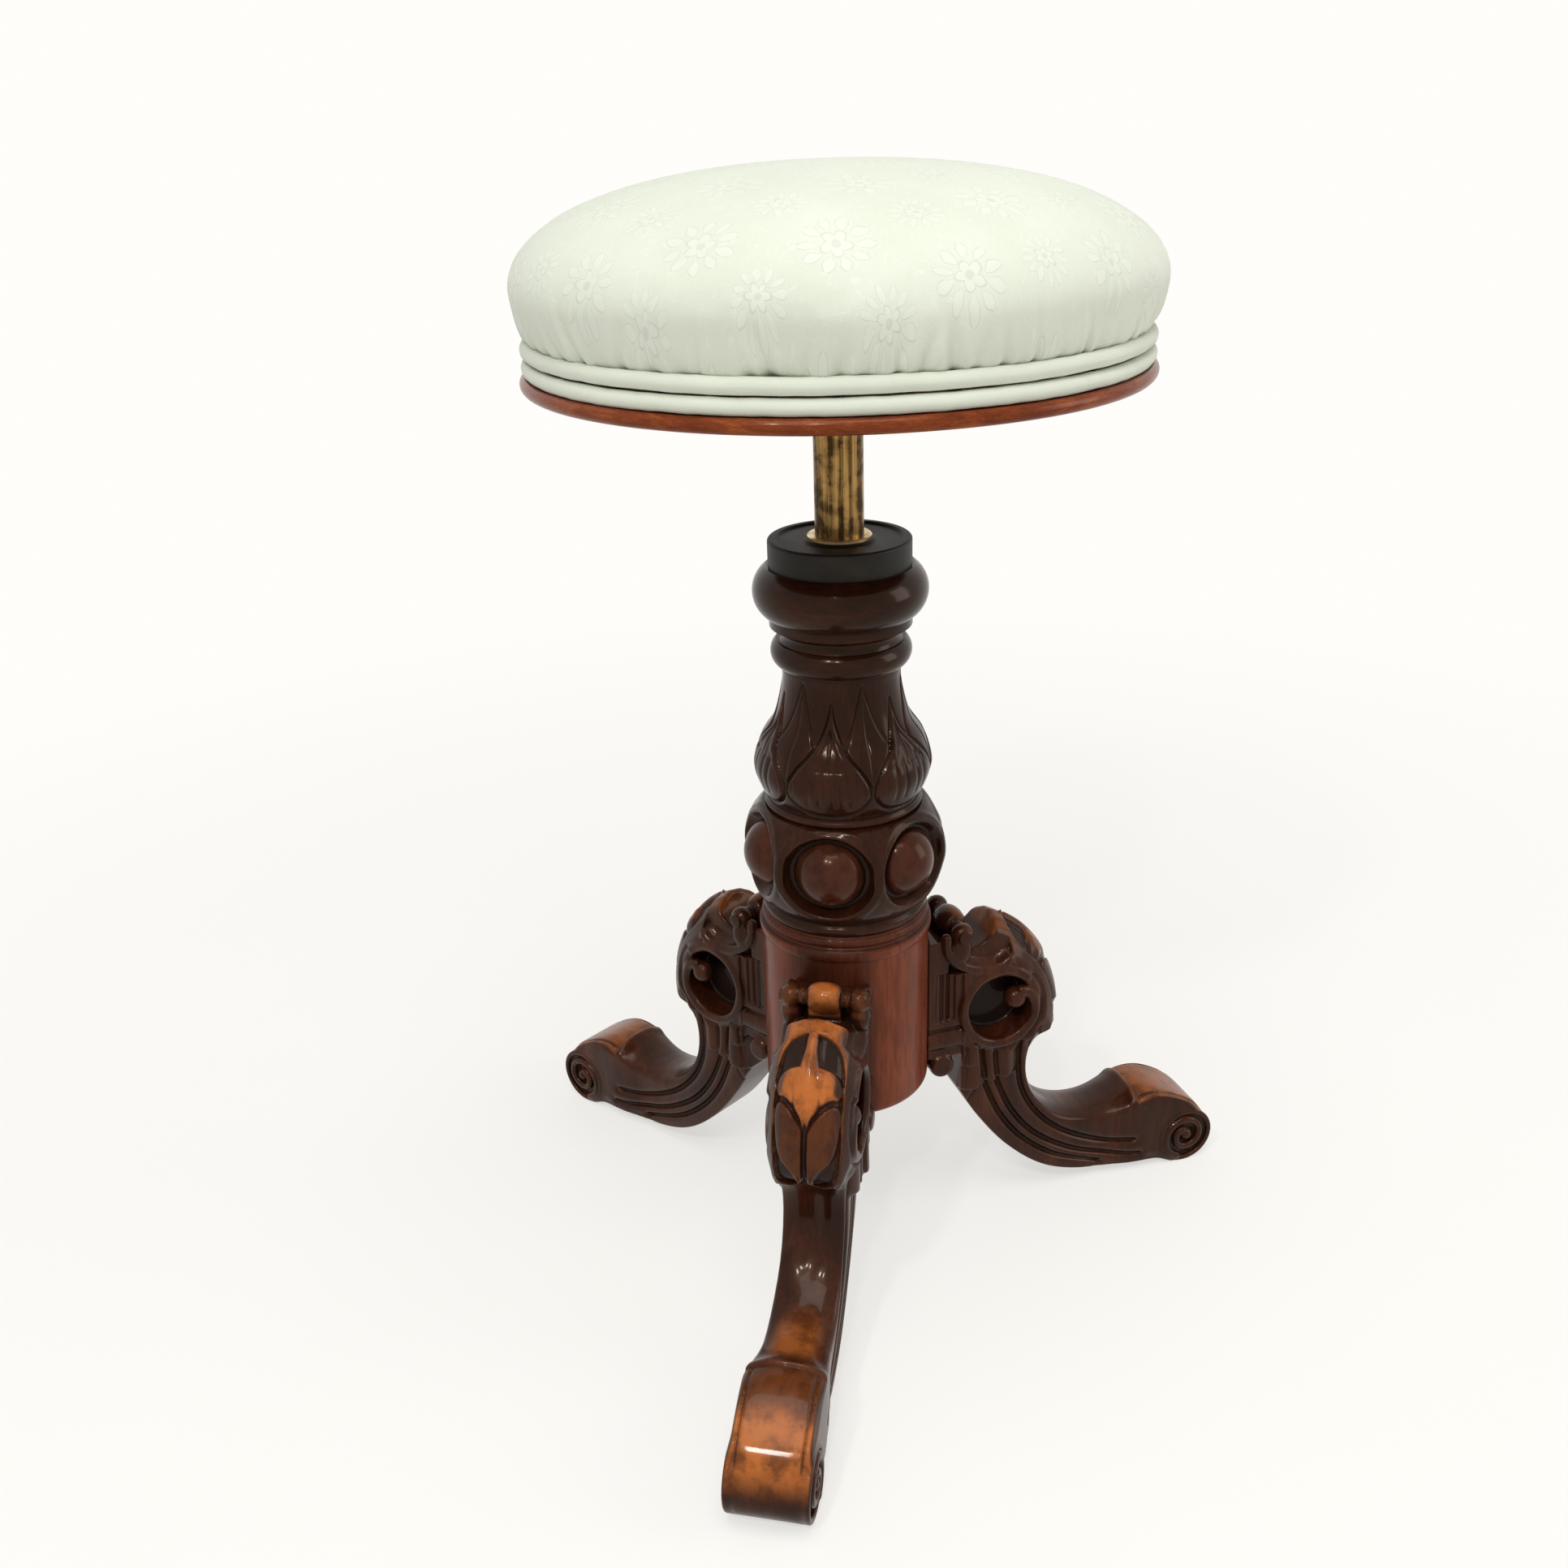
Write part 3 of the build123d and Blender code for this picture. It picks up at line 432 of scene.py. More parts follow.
def knee_place(u, v):
    """Distance from the middle of the knee's crown, and the way down its front from the peak."""
    out, up = u - knee[0], v - knee[1]
    return np.hypot(out, up), leaf_r * (peak_angle - np.arctan2(up, out))


def reed_relief(u, v, lower):
    """Broad reeds that sweep from below the eye to the foot, and the husk behind them."""
    from_groove = np.minimum.reduce([near(u, v, line) for line in reed_grooves])
    edge = ease(8.0, 1.5, -lower) * ease(foot_eye_r, foot_eye_r + 6, away(u, v, foot_eye))
    relief = -2.6 * trough(from_groove, 1.5) - 1.1 * trough(from_groove, 3.6)
    relief -= 1.2 * edge * (v < eye_v - 30)
    return relief + 1.5 * raised(u, v, husk, 3.4) - 0.9 * trough(near(u, v, husk[4:]), 0.9)


def panel_relief(u, v):
    """Panel with upright reeds beside the drum, and the ledge and groove under it."""
    panel_u, panel_half, reed_pitch = eye_u - 33.2, 6.2, 4.1
    panel = ease(panel_half, panel_half - 1.2, np.abs(u - panel_u))
    panel = panel * ease(eye_v + 1, eye_v + 2.5, v) * ease(eye_v + 35, eye_v + 33.5, v)
    reeds = 2.2 * np.abs(np.cos(pi * (u - panel_u) / reed_pitch)) ** 0.7 - 3.4
    ledge = 2.2 * bump(v, eye_v - 10.5, 5.2) * ease(eye_u - 21, eye_u - 23, u)
    groove = 2.0 * bump(v, eye_v - 3.4, 1.4) * ease(eye_u - 21, eye_u - 24, u)
    return panel * reeds + ledge - groove


def side_relief(u, v, lower):
    """Relief of the leg's sides: reeds, panel, hollow cheek and the floors of both volutes."""
    from_ring = away(u, v, ring)
    cheek = ease(1.0, 7.0, near(u, v, cradle_scroll))
    cheek = cheek * (v > eye_v + 33) * (u > eye_u - 31) * (u < eye_u + 9)
    seam = trough(from_ring - 28.5, 2.0) * ease(eye_u - 4, eye_u + 6, u) * ease(23, 18, v - ring[1])
    relief = reed_relief(u, v, lower) + panel_relief(u, v) - 6.5 * cheek - 2.2 * seam
    pocket = ease(22.0, 19.0, from_ring)
    relief = relief * (1 - pocket) - 15.0 * pocket
    hollow = ease(foot_eye_r, foot_eye_r - 1.5, away(u, v, foot_eye))
    return relief * (1 - hollow) - 2.6 * hollow


# ---------- forms of the carved leg
def crowned(far, places, drops):
    """Drop of a crowned form at each distance from the leg's middle plane."""
    return np.interp(far, places, drops).astype(np.float32)


def knee_form(u, w, v, outline, relief, leaf_table):
    """Knee: crowned across, with its leaf on the front, and narrower below the lip."""
    far = np.abs(w)
    rho, down = knee_place(u, v)
    crown = rho - (knee_r - crowned(far, [0, 7.5, 13.5, 18.5, 23, 28], [0, 1.6, 5.2, 10.2, 17, 30]))
    leaf = look_up(leaf_table, w, down).astype(np.float32) * ease(52, 64, rho)
    front = smooth_max(outline, crown, 3.0) - leaf
    below = ease(lip_v + 7, lip_v - 5, v) * ease(eye_u + 6, eye_u + 18, u)
    corner = ease(80, 101, down) * ease(50, 60, rho)
    half = knee_half - (knee_half - shin_half - 0.8) * below - 4.5 * corner
    return smooth_max(front, far - (half + relief), 1.6)


def pad_form(u, v, far):
    """Crowned pad on top of the foot, which ends at the crest."""
    drop = crowned(far, [0, 8, 15, foot_half, 28], [0, 0.8, 2.8, 6.4, 12])
    beyond = ease(crest_u - 3, crest_u + 3, u)
    return (away(u, v, pad) - (pad_r - drop)) * beyond - 40.0 * (1 - beyond)


def shin_half_width(u, v):
    """Half width of shin and foot, wider at the foot and where the shin goes into the knee."""
    half = shin_half + (foot_half - shin_half) * ease(toe - 84, toe - 50, u)
    behind = ease(eye_u + 18, eye_u + 2, u)
    widen = behind * ease(lip_v - 22, lip_v + 4, v)
    widen = widen + (1 - behind) * ease(lip_v - 4, lip_v + 7, v) * (u < lip_u + 8)
    return half + (knee_half - 1.5 - half) * widen


def shin_form(u, w, v, outline, relief):
    """Shin and foot: crowned hollow with a flute under the lip, pad, crest and the foot's disc."""
    far = np.abs(w)
    below_lip = np.degrees(np.arctan2(bay[1] - v, bay[0] - u))
    flute = 2.6 * trough(w, 6.5) * ease(-30, -12, below_lip) * ease(64, 30, below_lip)
    hollow = bay_r + flute + 6.5 * (far / foot_half) ** 2 - away(u, v, bay)
    shin = smooth_max(smooth_max(outline, hollow, 2.0), pad_form(u, v, far), 3.0)
    pad_lines = bump(far, foot_half - 4.6, 0.9) * ease(crest_u + 2, crest_u + 7, u) * (v > 8)
    crest_bead = trough(u - crest_u + 1.0, 2.2) * (v > crest_v - 16)
    shin = shin + 1.1 * pad_lines - 0.9 * crest_bead
    disc = away(u, v, foot_eye) - foot_eye_r - 0.2
    return smooth_max(smooth_min(shin, disc, 2.0), far - (shin_half_width(u, v) + relief), 1.8)


def roll_form(radius, far):
    """The turned roll: a middle bead that tapers to a smaller ball at each end."""
    profile = 4.0 + 4.6 * bump(far, 0, 9.6) + 0.8 * bump(far, 11.6, 1.4)
    profile = np.maximum(profile, 6.7 * bump(far, 18.6, 6.0))
    return (radius - np.where(far > 25.2, -5.0, profile)) * 0.8


def round_forms(u, v, far):
    """Turned and rounded parts that are added to the leg, each with the softness of its joint."""
    pendant = away(u, v, (drum_r + 4.5, eye_v - 27.5)) - 7.4 + 1.2 * bump(far, 17.0, 1.4)
    yield smooth_max(pendant, far - 24.0, 3.5), 2.0
    web = np.maximum(np.abs(u - bobbin_u) - 3.2, far - 9.0)
    yield np.maximum(web, np.abs(v - bobbin_v + 9.5) - 6.5), 2.0
    boss_r = 6.0
    boss = np.sqrt(((u - bobbin_u + 1.0) / 7.0) ** 2 + ((v - bobbin_v + 10.0) / 9.5) ** 2
                   + ((far - 19.0) / boss_r) ** 2)
    yield (boss - 1.0) * boss_r, 0.8
    lines = ((near(u, v, eye_scroll), knee_half + 1.6, 3.3, 1.2),
             (near(u, v, cradle_scroll), knee_half + 1.0, 3.1, 1.2),
             (near(u, v, foot_spiral()), foot_half + 1.6, 2.3, 0.8),
             (np.abs(away(u, v, foot_eye) - foot_eye_r + 0.8), foot_half + 0.6, 1.7, 0.8))
    balls = ((away(u, v, (eye_u + 12.6, eye_v + 8.0)), knee_half + 1.9, 6.9, 0.8),
             (away(u, v, (toe - 18.4, 19.7)), foot_half + 1.9, 4.2, 0.8))
    for distance, outer, radius, soft in lines + balls:
        yield np.hypot(distance.astype(np.float32), far - (outer - radius)) - radius, soft


def carve_leg(step, leaf_table):
    """Signed distances of one leg on a grid in the leg plane, and the grid's origin."""
    origin = np.array([drum_r - 16.0, -28.0, -1.5])
    u, w, v = grid(origin, (toe + 2.0, 28.0, eye_v + 68.0), step)
    far = np.abs(w)
    plans = [signed(u, v, outline) for outline in (block_outline, knee_outline, lower_outline)]
    plans.append(side_relief(u, v, plans[-1]))
    block, upper, lower, relief = (plan.astype(np.float32) for plan in plans)
    body = knee_form(u, w, v, upper, relief, leaf_table)
    body = smooth_min(body, shin_form(u, w, v, lower, relief), 2.0)
    body = smooth_min(body, smooth_max(block, far - (leg_half + relief), 1.4), 1.2)
    body = np.minimum(body, roll_form(away(u, v, bobbin), far))
    for form, soft in round_forms(u, v, far):
        body = smooth_min(body, form, soft)
    from_axis, below_lip = np.hypot(u, w), 40.0 * ease(drum_low + 104, drum_low + 100, v)
    for cut in (drum_r + 0.15 - from_axis, drum_r + 1.7 - below_lip - from_axis, 0.2 - v):
        body = np.maximum(body, cut)
    return body.astype(np.float32), origin


def leg_painted_shade(u, w, v, carving):
    """Painted shade in the eye, in the sunken ground of the knee's leaf and in the foot's volute."""
    far, rho, foot = np.abs(w), away(u, v, knee), away(u, v, foot_eye)
    eye = 0.80 * ease(20.5, 18.5, away(u, v, ring)) * ease(20, 15, far)
    ground = 0.45 * ease(-1.5, -2.6, carving) * ease(62, 68, rho) * (u > eye_u - 10)
    volute = 0.30 * ease(foot_eye_r - 1.5, foot_eye_r - 3.5, foot)
    volute = volute * ease(foot_half + 0.5, foot_half, far)
    return np.maximum.reduce([eye, ground, volute]) * 1.1 - 0.1


def leg_wear_and_highlight(u, w, v, gold):
    """Golden wear of the front leg, which feet rub most, and of the side legs; on the roll's middle and on
    the shin it is partly a painted highlight.
    """
    far = np.abs(w)
    leaf = gold * ease(62, 68, away(u, v, knee)) * (u > eye_u - 10)
    # The roll is golden mostly in its middle: wear and a painted highlight.
    roll = ease(11, 9, away(u, v, bobbin)) * ease(-5, 1, u - bobbin_u)
    roll *= 0.15 + 0.85 * ease(10.5, 7.5, far)
    turn = np.degrees(np.arctan2(v - pad[1], u - pad[0]))
    top = ease(crest_u - 2, crest_u + 4, u) * ease(8, 34, turn)
    top *= ease(foot_half + 0.5, foot_half - 1.0, far)
    top_front = top * (0.2 + 0.8 * ease(80, 62, turn))
    # Golden patch on the shin: wear and a painted highlight.
    shin = 0.55 * ease(crest_u - 48, crest_u - 26, u) * ease(crest_u - 4, crest_u - 14, u)
    shin *= (v > 24) * ease(16, 6, far)
    return (np.maximum.reduce([leaf, 0.9 * roll, 0.9 * top_front, shin]),
            np.maximum.reduce([0.3 * leaf, 0.25 * roll, 0.5 * top]))


def make_legs(step):
    """One carved leg, turned to its three places about the column."""
    relief_table, gold_table = knee_tables()
    field, origin = carve_leg(step, relief_table)
    points, faces = surface_net(field, origin, step)
    u, w, v = points.T
    _, down = knee_place(u, v)
    # Painted shade in the eye, the leaf's sunken ground and the foot's volute.
    least_darkening = leg_painted_shade(u, w, v, look_up(relief_table, w, down))
    front_wear_and_highlight, side_wear_and_highlight = leg_wear_and_highlight(u, w, v, look_up(gold_table, w, down))
    for node, azimuth in leg_azimuths.items():
        c, s = cos(radians(azimuth)), sin(radians(azimuth))
        placed = np.stack([u * c - w * s, u * s + w * c, v], 1) * MM
        leg = add_mesh(node + "_carved", placed, faces)
        across = np.abs(point_values(leg, "normal") @ np.array([-s, c, 0.0]))
        wear_and_highlight = front_wear_and_highlight if node == "leg_front" else side_wear_and_highlight
        wear_and_highlight = np.clip(wear_and_highlight, 0, 1) * ease(0.85, 0.45, across)
        add_shade_and_wear(leg, placed, faces, wear_and_highlight, np.stack([u, w, v], 1) * MM, 7, least_darkening)
        dress(leg, walnut, "base", "carved_walnut", node)


# ---------- the column
def add_sheet(name, points, shape):
    """Faces and piece of a grid of points that closes on itself both ways."""
    index = np.arange(len(points)).reshape(shape)
    ahead = np.roll(index, -1, 1)
    faces = np.stack([index, ahead, np.roll(ahead, -1, 0), np.roll(index, -1, 0)], -1).reshape(-1, 4)
    return faces, add_mesh(name, points, faces)


def lathe(name, heights, radius_of, turns):
    """Points in metres, faces and piece of a turned sleeve: radius_of(angle, height) round the plain bore."""
    angles = np.arange(turns) * tau / turns
    angle, height = np.meshgrid(angles, [heights[0], *heights, heights[-1]])
    radius = radius_of(angle, height)
    radius[0], radius[-1] = bore_r, bore_r
    points = np.stack([radius * np.cos(angle), radius * np.sin(angle), height], -1).reshape(-1, 3) * MM
    return points, *add_sheet(name, points, height.shape)


def from_place(angle, places, shift=0.0):
    """Angle from the middle of the nearest of several equal places, the first at the front leg."""
    pitch = tau / places
    return (angle - radians(first_leg) - shift * pitch + pitch / 2) % pitch - pitch / 2


def vase_radius(angle, z):
    """Vase with six broad drop-shaped leaves, and narrow leaves that rise between them to the neck."""
    belly, belly_r = vase_foot + 20.0, 48.2
    heights = [vase_foot, belly - 11, belly, belly + 14, belly + 26, belly + 43, neck_z]
    base = smooth_profile(z, heights, [41.8, 45.8, belly_r, 44.4, 37.0, 33.0, 32.4])
    up, girth = z - vase_foot, 48.0
    across, between = (from_place(angle, roundels, shift) * girth for shift in (0.0, 0.5))
    leaf = signed(across, up, mirrored(
        (0, 61.0), (2.2, 53.0), (5.8, 45.0), (12.0, 36.0), (19.0, 28.0), (23.4, 19.5), (22.6, 12.0),
        (16.5, 6.0), (8.0, 3.6), (0, 3.0)))
    hollow = raised(across, up, mirrored(
        (0, 50.0), (3.4, 42.5), (9.0, 33.5), (15.6, 26.0), (19.4, 18.8), (18.6, 13.2), (13.4, 8.6),
        (6.0, 6.8), (0, 6.4)), 3.0)
    rise = signed(between, up, mirrored(
        (0, 71.0), (3.6, 62.0), (8.0, 52.0), (13.0, 43.0), (20.0, 33.0), (22.0, 26.0), (0, 20.0)))
    flutes = sum(trough(np.abs(across) - place, 1.3) for place in (4.6, 11.0))
    flutes = flutes * ease(8, 12, up) * ease(40, 24, up)
    vein = trough(across, 0.8) * ease(26, 34, up)
    inner = 1.2 * hollow * bump(up, 16.0, 13.0) - 0.9 * hollow - 0.45 * flutes - 0.5 * vein
    outer = 0.6 * (rise < 0) - 0.8 * trough(rise, 1.0) - 0.5 * trough(between, 0.9) * (rise < -2)
    relief = np.where(leaf < 0, 0.6 + inner, -0.4) - 1.2 * trough(leaf, 1.1)
    relief += ease(0.8, 1.6, leaf) * outer
    top = neck_z - vase_foot
    relief *= ease(0.0, 3.0, up) * ease(top - 1, top - 7, up)
    return np.minimum(base + relief - 0.5, base + 1.0)


def make_vase():
    """Vase on its plain foot, which has one small bead."""
    foot_heights = band_high + np.array([0.3, 1.0, 2.0, 3.0])
    heights = np.concatenate([foot_heights, np.linspace(vase_foot, neck_z - 0.1, 170)])

    def radius(angle, z):
        foot = 42.6 + 0.8 * bump(z, band_high + 2.0, 2.0)
        return np.where(z < vase_foot - 0.2, foot, vase_radius(angle, z))

    points, faces, vase = lathe("vase_carved", heights, radius, 720)
    add_shade_and_wear(vase, points, faces, 0.0, points)
    dress(vase, column_walnut, "base", "pillar_walnut", "vase")


def block_profile(z):
    """Radius of the swelling block at a height, with a bead at its foot."""
    widest = band_low + (band_high - band_low) * 0.54
    heights = [band_low + 7, band_low + 16, widest, band_high - 13, band_high - 3, band_high]
    turned = smooth_profile(z, heights, [44.6, 51.6, 56.3, 53.5, 47.6, 44.7])
    bead = 44.0 + 2.4 * bump(z, band_low + 3.4, 3.0)
    return np.where(z < band_low + 6.6, bead, turned)


def make_roundel_block(step):
    """Swelling block with six balls, each in a deep dished ring with a thin rim."""
    centre_z, ball_r, ball_out = band_low + 38.0, 20.0, 37.6
    dish_r, dish_wide, dish_floor = 26.6, 1.08, 43.5
    reach, elsewhere = band_r + 2.0, 9.0
    origin = np.array([-reach, -reach, band_low - 1.0])
    x, y, z = grid(origin, (reach, reach, band_high + 1.0), step)
    radius = np.hypot(x, y)
    surface = block_profile(z).astype(np.float32)
    body = (radius - surface) * 0.9
    for place in range(roundels):
        turn = radians(first_leg) + place * tau / roundels
        out, aside = x * cos(turn) + y * sin(turn), y * cos(turn) - x * sin(turn)
        here = out > 20
        off = np.hypot(aside / dish_wide, z - centre_z)
        dish = np.maximum(off - dish_r + 0.62 * np.clip(54.0 - out, 0, 20), dish_floor - out)
        body = smooth_max(body, -np.where(here, dish, elsewhere), 0.8)
        rim = np.hypot(off - dish_r - 0.3, radius - surface + 0.9) - 1.4
        body = smooth_min(body, np.where(here, rim, elsewhere), 0.8)
        ball = np.sqrt(aside**2 + (z - centre_z) ** 2 + (out - ball_out) ** 2) - ball_r
        body = np.minimum(body, np.where(here, ball, elsewhere))
    for cut in (band_low + 0.1 - z, z - band_high + 0.1, bore_r - radius):
        body = np.maximum(body, cut)
    points, faces = surface_net(body.astype(np.float32), origin, step)
    x, y, z = points.T
    turn, radius = from_place(np.arctan2(y, x), roundels), np.hypot(x, y)
    out, aside = radius * np.cos(turn), radius * np.sin(turn)
    from_ball = np.sqrt(aside**2 + (z - centre_z) ** 2 + (out - ball_out) ** 2) - ball_r
    # The balls' fronts are golden: wear and a painted soft highlight.
    wear_and_highlight = 0.05 + 0.35 * ease(1.0, 0.3, np.abs(from_ball)) * (out > 46)
    points = points * MM
    block = add_mesh("roundel_block_carved", points, faces)
    add_shade_and_wear(block, points, faces, wear_and_highlight, points)
    dress(block, column_walnut, "base", "pillar_walnut", "roundel_block")


def make_drum():
    """Plain drum with a rounded foot, a lip, and a cove and bead over it."""
    low, high, foot_round = drum_low, drum_high, 5.0
    lip_z = high - 10.5

    def radius(angle, z):
        below = np.clip(low + foot_round - z, 0, foot_round)
        wall = drum_r - foot_round * (1 - bump(below, 0, foot_round))
        wall = wall + drum_lip * bump(z, lip_z, 3.6) * (z > lip_z - 3.6)
        top = 45.2 + 1.9 * bump(z, high - 3.4, 2.6) + 1.2 * ease(high - 5.6, high - 7, z)
        return np.where(z > lip_z + 2.6, np.minimum(wall, top), wall)

    heights = np.concatenate([np.linspace(low + 0.05, low + foot_round, 12),
                              np.linspace(low + 8, lip_z - 5, 30),
                              np.linspace(lip_z - 4, high - 0.1, 60)])
    points, faces, drum = lathe("leg_drum_turned", heights, radius, 240)
    x, y, z = points.T
    # Painted shade on the drum beside the legs; the top mouldings under the block are darkened too.
    shade_by_legs = ease(0.85, 0.30, np.abs(from_place(np.arctan2(y, x), len(leg_azimuths))))
    on_top = ease(high - 10.5, high - 7.5, z / MM)
    add_shade_and_wear(drum, points, faces, 0.10, points, 3, 0.34 * np.maximum(on_top, shade_by_legs))
    dress(drum, drum_walnut, "base", "drum_walnut", "leg_drum")


# ---------- nodes of a material
class Value:
    """A number from a node. Reckoning with it adds the nodes that do so."""

    def __init__(self, nodes, socket):
        self.nodes, self.socket = nodes, socket

    def __add__(self, other):
        return self.nodes.math("ADD", self, other)

    def __sub__(self, other):
        return self.nodes.math("SUBTRACT", self, other)

    def __rsub__(self, other):
        return self.nodes.math("SUBTRACT", other, self)

    def __mul__(self, other):
        return self.nodes.math("MULTIPLY", self, other)

    def __abs__(self):
        return self.nodes.math("ABSOLUTE", self)

    def at_least(self, other):
        return self.nodes.math("MAXIMUM", self, other)

    def step(self, low, high, out_low=0.0, out_high=1.0):
        """Smooth step of the value between two levels."""
        inputs = {0: self, 1: low, 2: high, 3: out_low, 4: out_high}
        node = self.nodes.node("MapRange", inputs, interpolation_type="SMOOTHSTEP")
        return Value(self.nodes, node.outputs[0])


class Nodes:
    """Short calls for the nodes of a material or world."""

    def __init__(self, tree):
        self.tree = tree

    def node(self, kind, inputs, **settings):
        node = self.tree.nodes.new("ShaderNode" + kind)
        for key, value in settings.items():
            setattr(node, key, value)
        for key, value in inputs.items():
            self.put(node.inputs[key], value)
        return node

    def put(self, socket, value):
        """Links a socket to another node's output, or sets it. A colour needs no alpha."""
        value = value.socket if isinstance(value, Value) else value
        if isinstance(value, bpy.types.NodeSocket):
            self.tree.links.new(value, socket)
        else:
            socket.default_value = (*value, 1) if socket.type == "RGBA" else value

    def math(self, operation, *values):
        node = self.node("Math", dict(enumerate(values)), operation=operation)
        return Value(self, node.outputs[0])

    def mix(self, factor, a, b):
        colour_a, colour_b, colour_out = 6, 7, 2
        inputs = {"Factor": factor, colour_a: a, colour_b: b}
        return self.node("Mix", inputs, data_type="RGBA").outputs[colour_out]

    def ramp(self, factor, places, colours):
        node = self.node("ValToRGB", {"Fac": factor})
        while len(node.color_ramp.elements) < len(places):
            node.color_ramp.elements.new(0.5)
        for element, place, colour in zip(node.color_ramp.elements, places, colours):
            element.position = place
            element.color = (*colour, 1)
        return node.outputs[0]

    def place(self, attribute=None, scale=(1, 1, 1)):
        """Place in the object, or one that its points carry."""
        if attribute:
            source = self.node("Attribute", {}, attribute_name=attribute).outputs["Vector"]
        else:
            source = self.node("TexCoord", {}).outputs["Object"]
        return self.node("Mapping", {"Vector": source, "Scale": scale}).outputs[0]

    def carried(self, attribute):
        return Value(self, self.node("Attribute", {}, attribute_name=attribute).outputs["Fac"])

    def split(self, vector):
        outputs = self.node("SeparateXYZ", {0: vector}).outputs
        return Value(self, outputs[0]), Value(self, outputs[1])

    def noise(self, vector, scale, detail=4.0, rough=0.55, distortion=0.0):
        inputs = {"Vector": vector, "Scale": scale, "Detail": detail, "Roughness": rough,
                  "Distortion": distortion}
        return Value(self, self.node("TexNoise", inputs).outputs[0])

    def weave(self, x, y, thread):
        """Warp over weft, from -1 to 1."""
        return self.math("SINE", x * (tau / thread)) * self.math("SINE", y * (tau / thread))

    def bump(self, height, strength, distance, **before):
        inputs = {"Height": height, "Strength": strength, "Distance": distance, **before}
        return self.node("Bump", inputs).outputs[0]


class Shader(Nodes):
    """A principled material."""

    def __init__(self, name, **inputs):
        self.material = bpy.data.materials.new(name)
        self.material.use_nodes = True
        super().__init__(self.material.node_tree)
        self.finish(**inputs)

    def finish(self, **inputs):
        """Sets or links the surface's sockets, whose names are written with _ for a space."""
        surface = self.tree.nodes["Principled BSDF"]
        for socket, value in inputs.items():
            self.put(surface.inputs[socket.replace("_", " ")], value)
        return self.material


# ---------- materials
def wood(name, tones, carved=False, gloss=0.3, grain=(1, 1, 0.12), golden=(0.46, 0.135, 0.030), coat=0.10):
    """Polished wood: grain, pores, painted shade in the hollows, and golden wear where hands and feet rub it,
    in places also a painted highlight.
    """
    sh = Shader(name, Coat_Weight=coat, Coat_Roughness=0.08, Specular_IOR_Level=0.13,
                Specular_Tint=(1.0, 0.62, 0.42))
    carrier = "grain_place" if carved else None
    grain_place, place = sh.place(carrier, grain), sh.place(carrier)
    broad = sh.noise(grain_place, 38.0, 5.0, 0.6, 1.2)
    fibre = sh.noise(grain_place, 420.0, 3.0, 0.6)
    cloud = sh.noise(place, 24.0, 3.0, 0.5)
    colour = sh.ramp(broad * 0.6 + cloud * 0.4, (0.34, 0.5, 0.66), tones)
    colour = sh.mix(fibre.step(0.42, 0.62) * 0.35, colour, [c * 0.45 for c in tones[0]])
    rough = cloud * 0.22 + (gloss - 0.08)
    if carved:
        cavity, wear_and_highlight = sh.carried("cavity"), sh.carried("wear_and_highlight")
        ridge, hollow = cavity.step(-0.05, -0.5), cavity.step(0.04, 0.55)
        # Painted shade: the hollows are darkened almost to black.
        colour = sh.mix(hollow * 0.92, colour, (0.005, 0.0032, 0.0026))
        patch = sh.noise(place, 70.0, 5.0, 0.65).step(0.34, 0.62)
        rubbed_and_highlight = wear_and_highlight * (patch * 0.65 + 0.3)
        edge = ridge * (wear_and_highlight * 0.6 + 0.10)
        colour = sh.mix(rubbed_and_highlight.at_least(edge) * (1.0 - hollow), colour, golden)
        rough = rough + hollow * 0.35
    normal = sh.bump(broad, 0.08, 0.0012, Normal=sh.bump(fibre, 0.08, 0.0003))
    return sh.finish(Base_Color=colour, Roughness=rough, Normal=normal)


def brass(name, light, dark, streaks):
    """Brass with vertical drag marks and brown tarnish."""
    sh = Shader(name, Metallic=1.0)
    drawn = sh.noise(sh.place(scale=(1, 1, 0.03)), 260.0, 4.0, 0.6)
    spots = sh.noise(sh.place(), 90.0, 5.0, 0.65)
    tarnish = drawn.step(0.38, 0.62) * streaks + spots.step(0.42, 0.66) * 0.5
    return sh.finish(Base_Color=sh.mix(tarnish, light, dark), Roughness=tarnish * 0.3 + 0.24,
                     Normal=sh.bump(drawn, 0.12, 0.0003))


def metal(name, colour, roughness, speckle, metallic=1.0):
    """Iron or steel with a fine grain and darker blotches."""
    sh = Shader(name, Metallic=metallic)
    blotch = sh.noise(sh.place(), 60.0, 5.0, 0.65)
    fine = sh.noise(sh.place(), 900.0, 2.0, 0.5)
    tone = sh.mix(blotch.step(0.35, 0.7), colour, [c * speckle for c in colour])
    return sh.finish(Base_Color=tone, Roughness=blotch * 0.25 + (roughness - 0.12),
                     Normal=sh.bump(fine, 0.2, 0.0002))


def ebonised():
    """Matt black wood, rubbed brown in places."""
    sh = Shader("ebonised", Specular_IOR_Level=0.2)
    cloud = sh.noise(sh.place(), 45.0, 5.0, 0.6)
    turned = sh.noise(sh.place(scale=(0.05, 0.05, 1)), 900.0, 2.0, 0.5)
    tones = (0.006, 0.005, 0.0034), (0.011, 0.009, 0.0056), (0.024, 0.017, 0.011)
    return sh.finish(Base_Color=sh.ramp(cloud, (0.3, 0.55, 0.75), tones), Roughness=cloud * 0.25 + 0.36,
                     Normal=sh.bump(turned, 0.15, 0.0003))


def plain_cloth(name, colour, thread, depth):
    """Coarse woven layer inside the seat."""
    sh = Shader(name, Roughness=0.9, Specular_IOR_Level=0.15)
    place = sh.place()
    weave = sh.weave(*sh.split(place), thread) + sh.noise(place, 500.0, 2.0)
    tone = sh.mix(weave.step(0.1, 0.9), [c * 0.62 for c in colour], colour)
    return sh.finish(Base_Color=tone, Normal=sh.bump(weave, 0.6, depth))


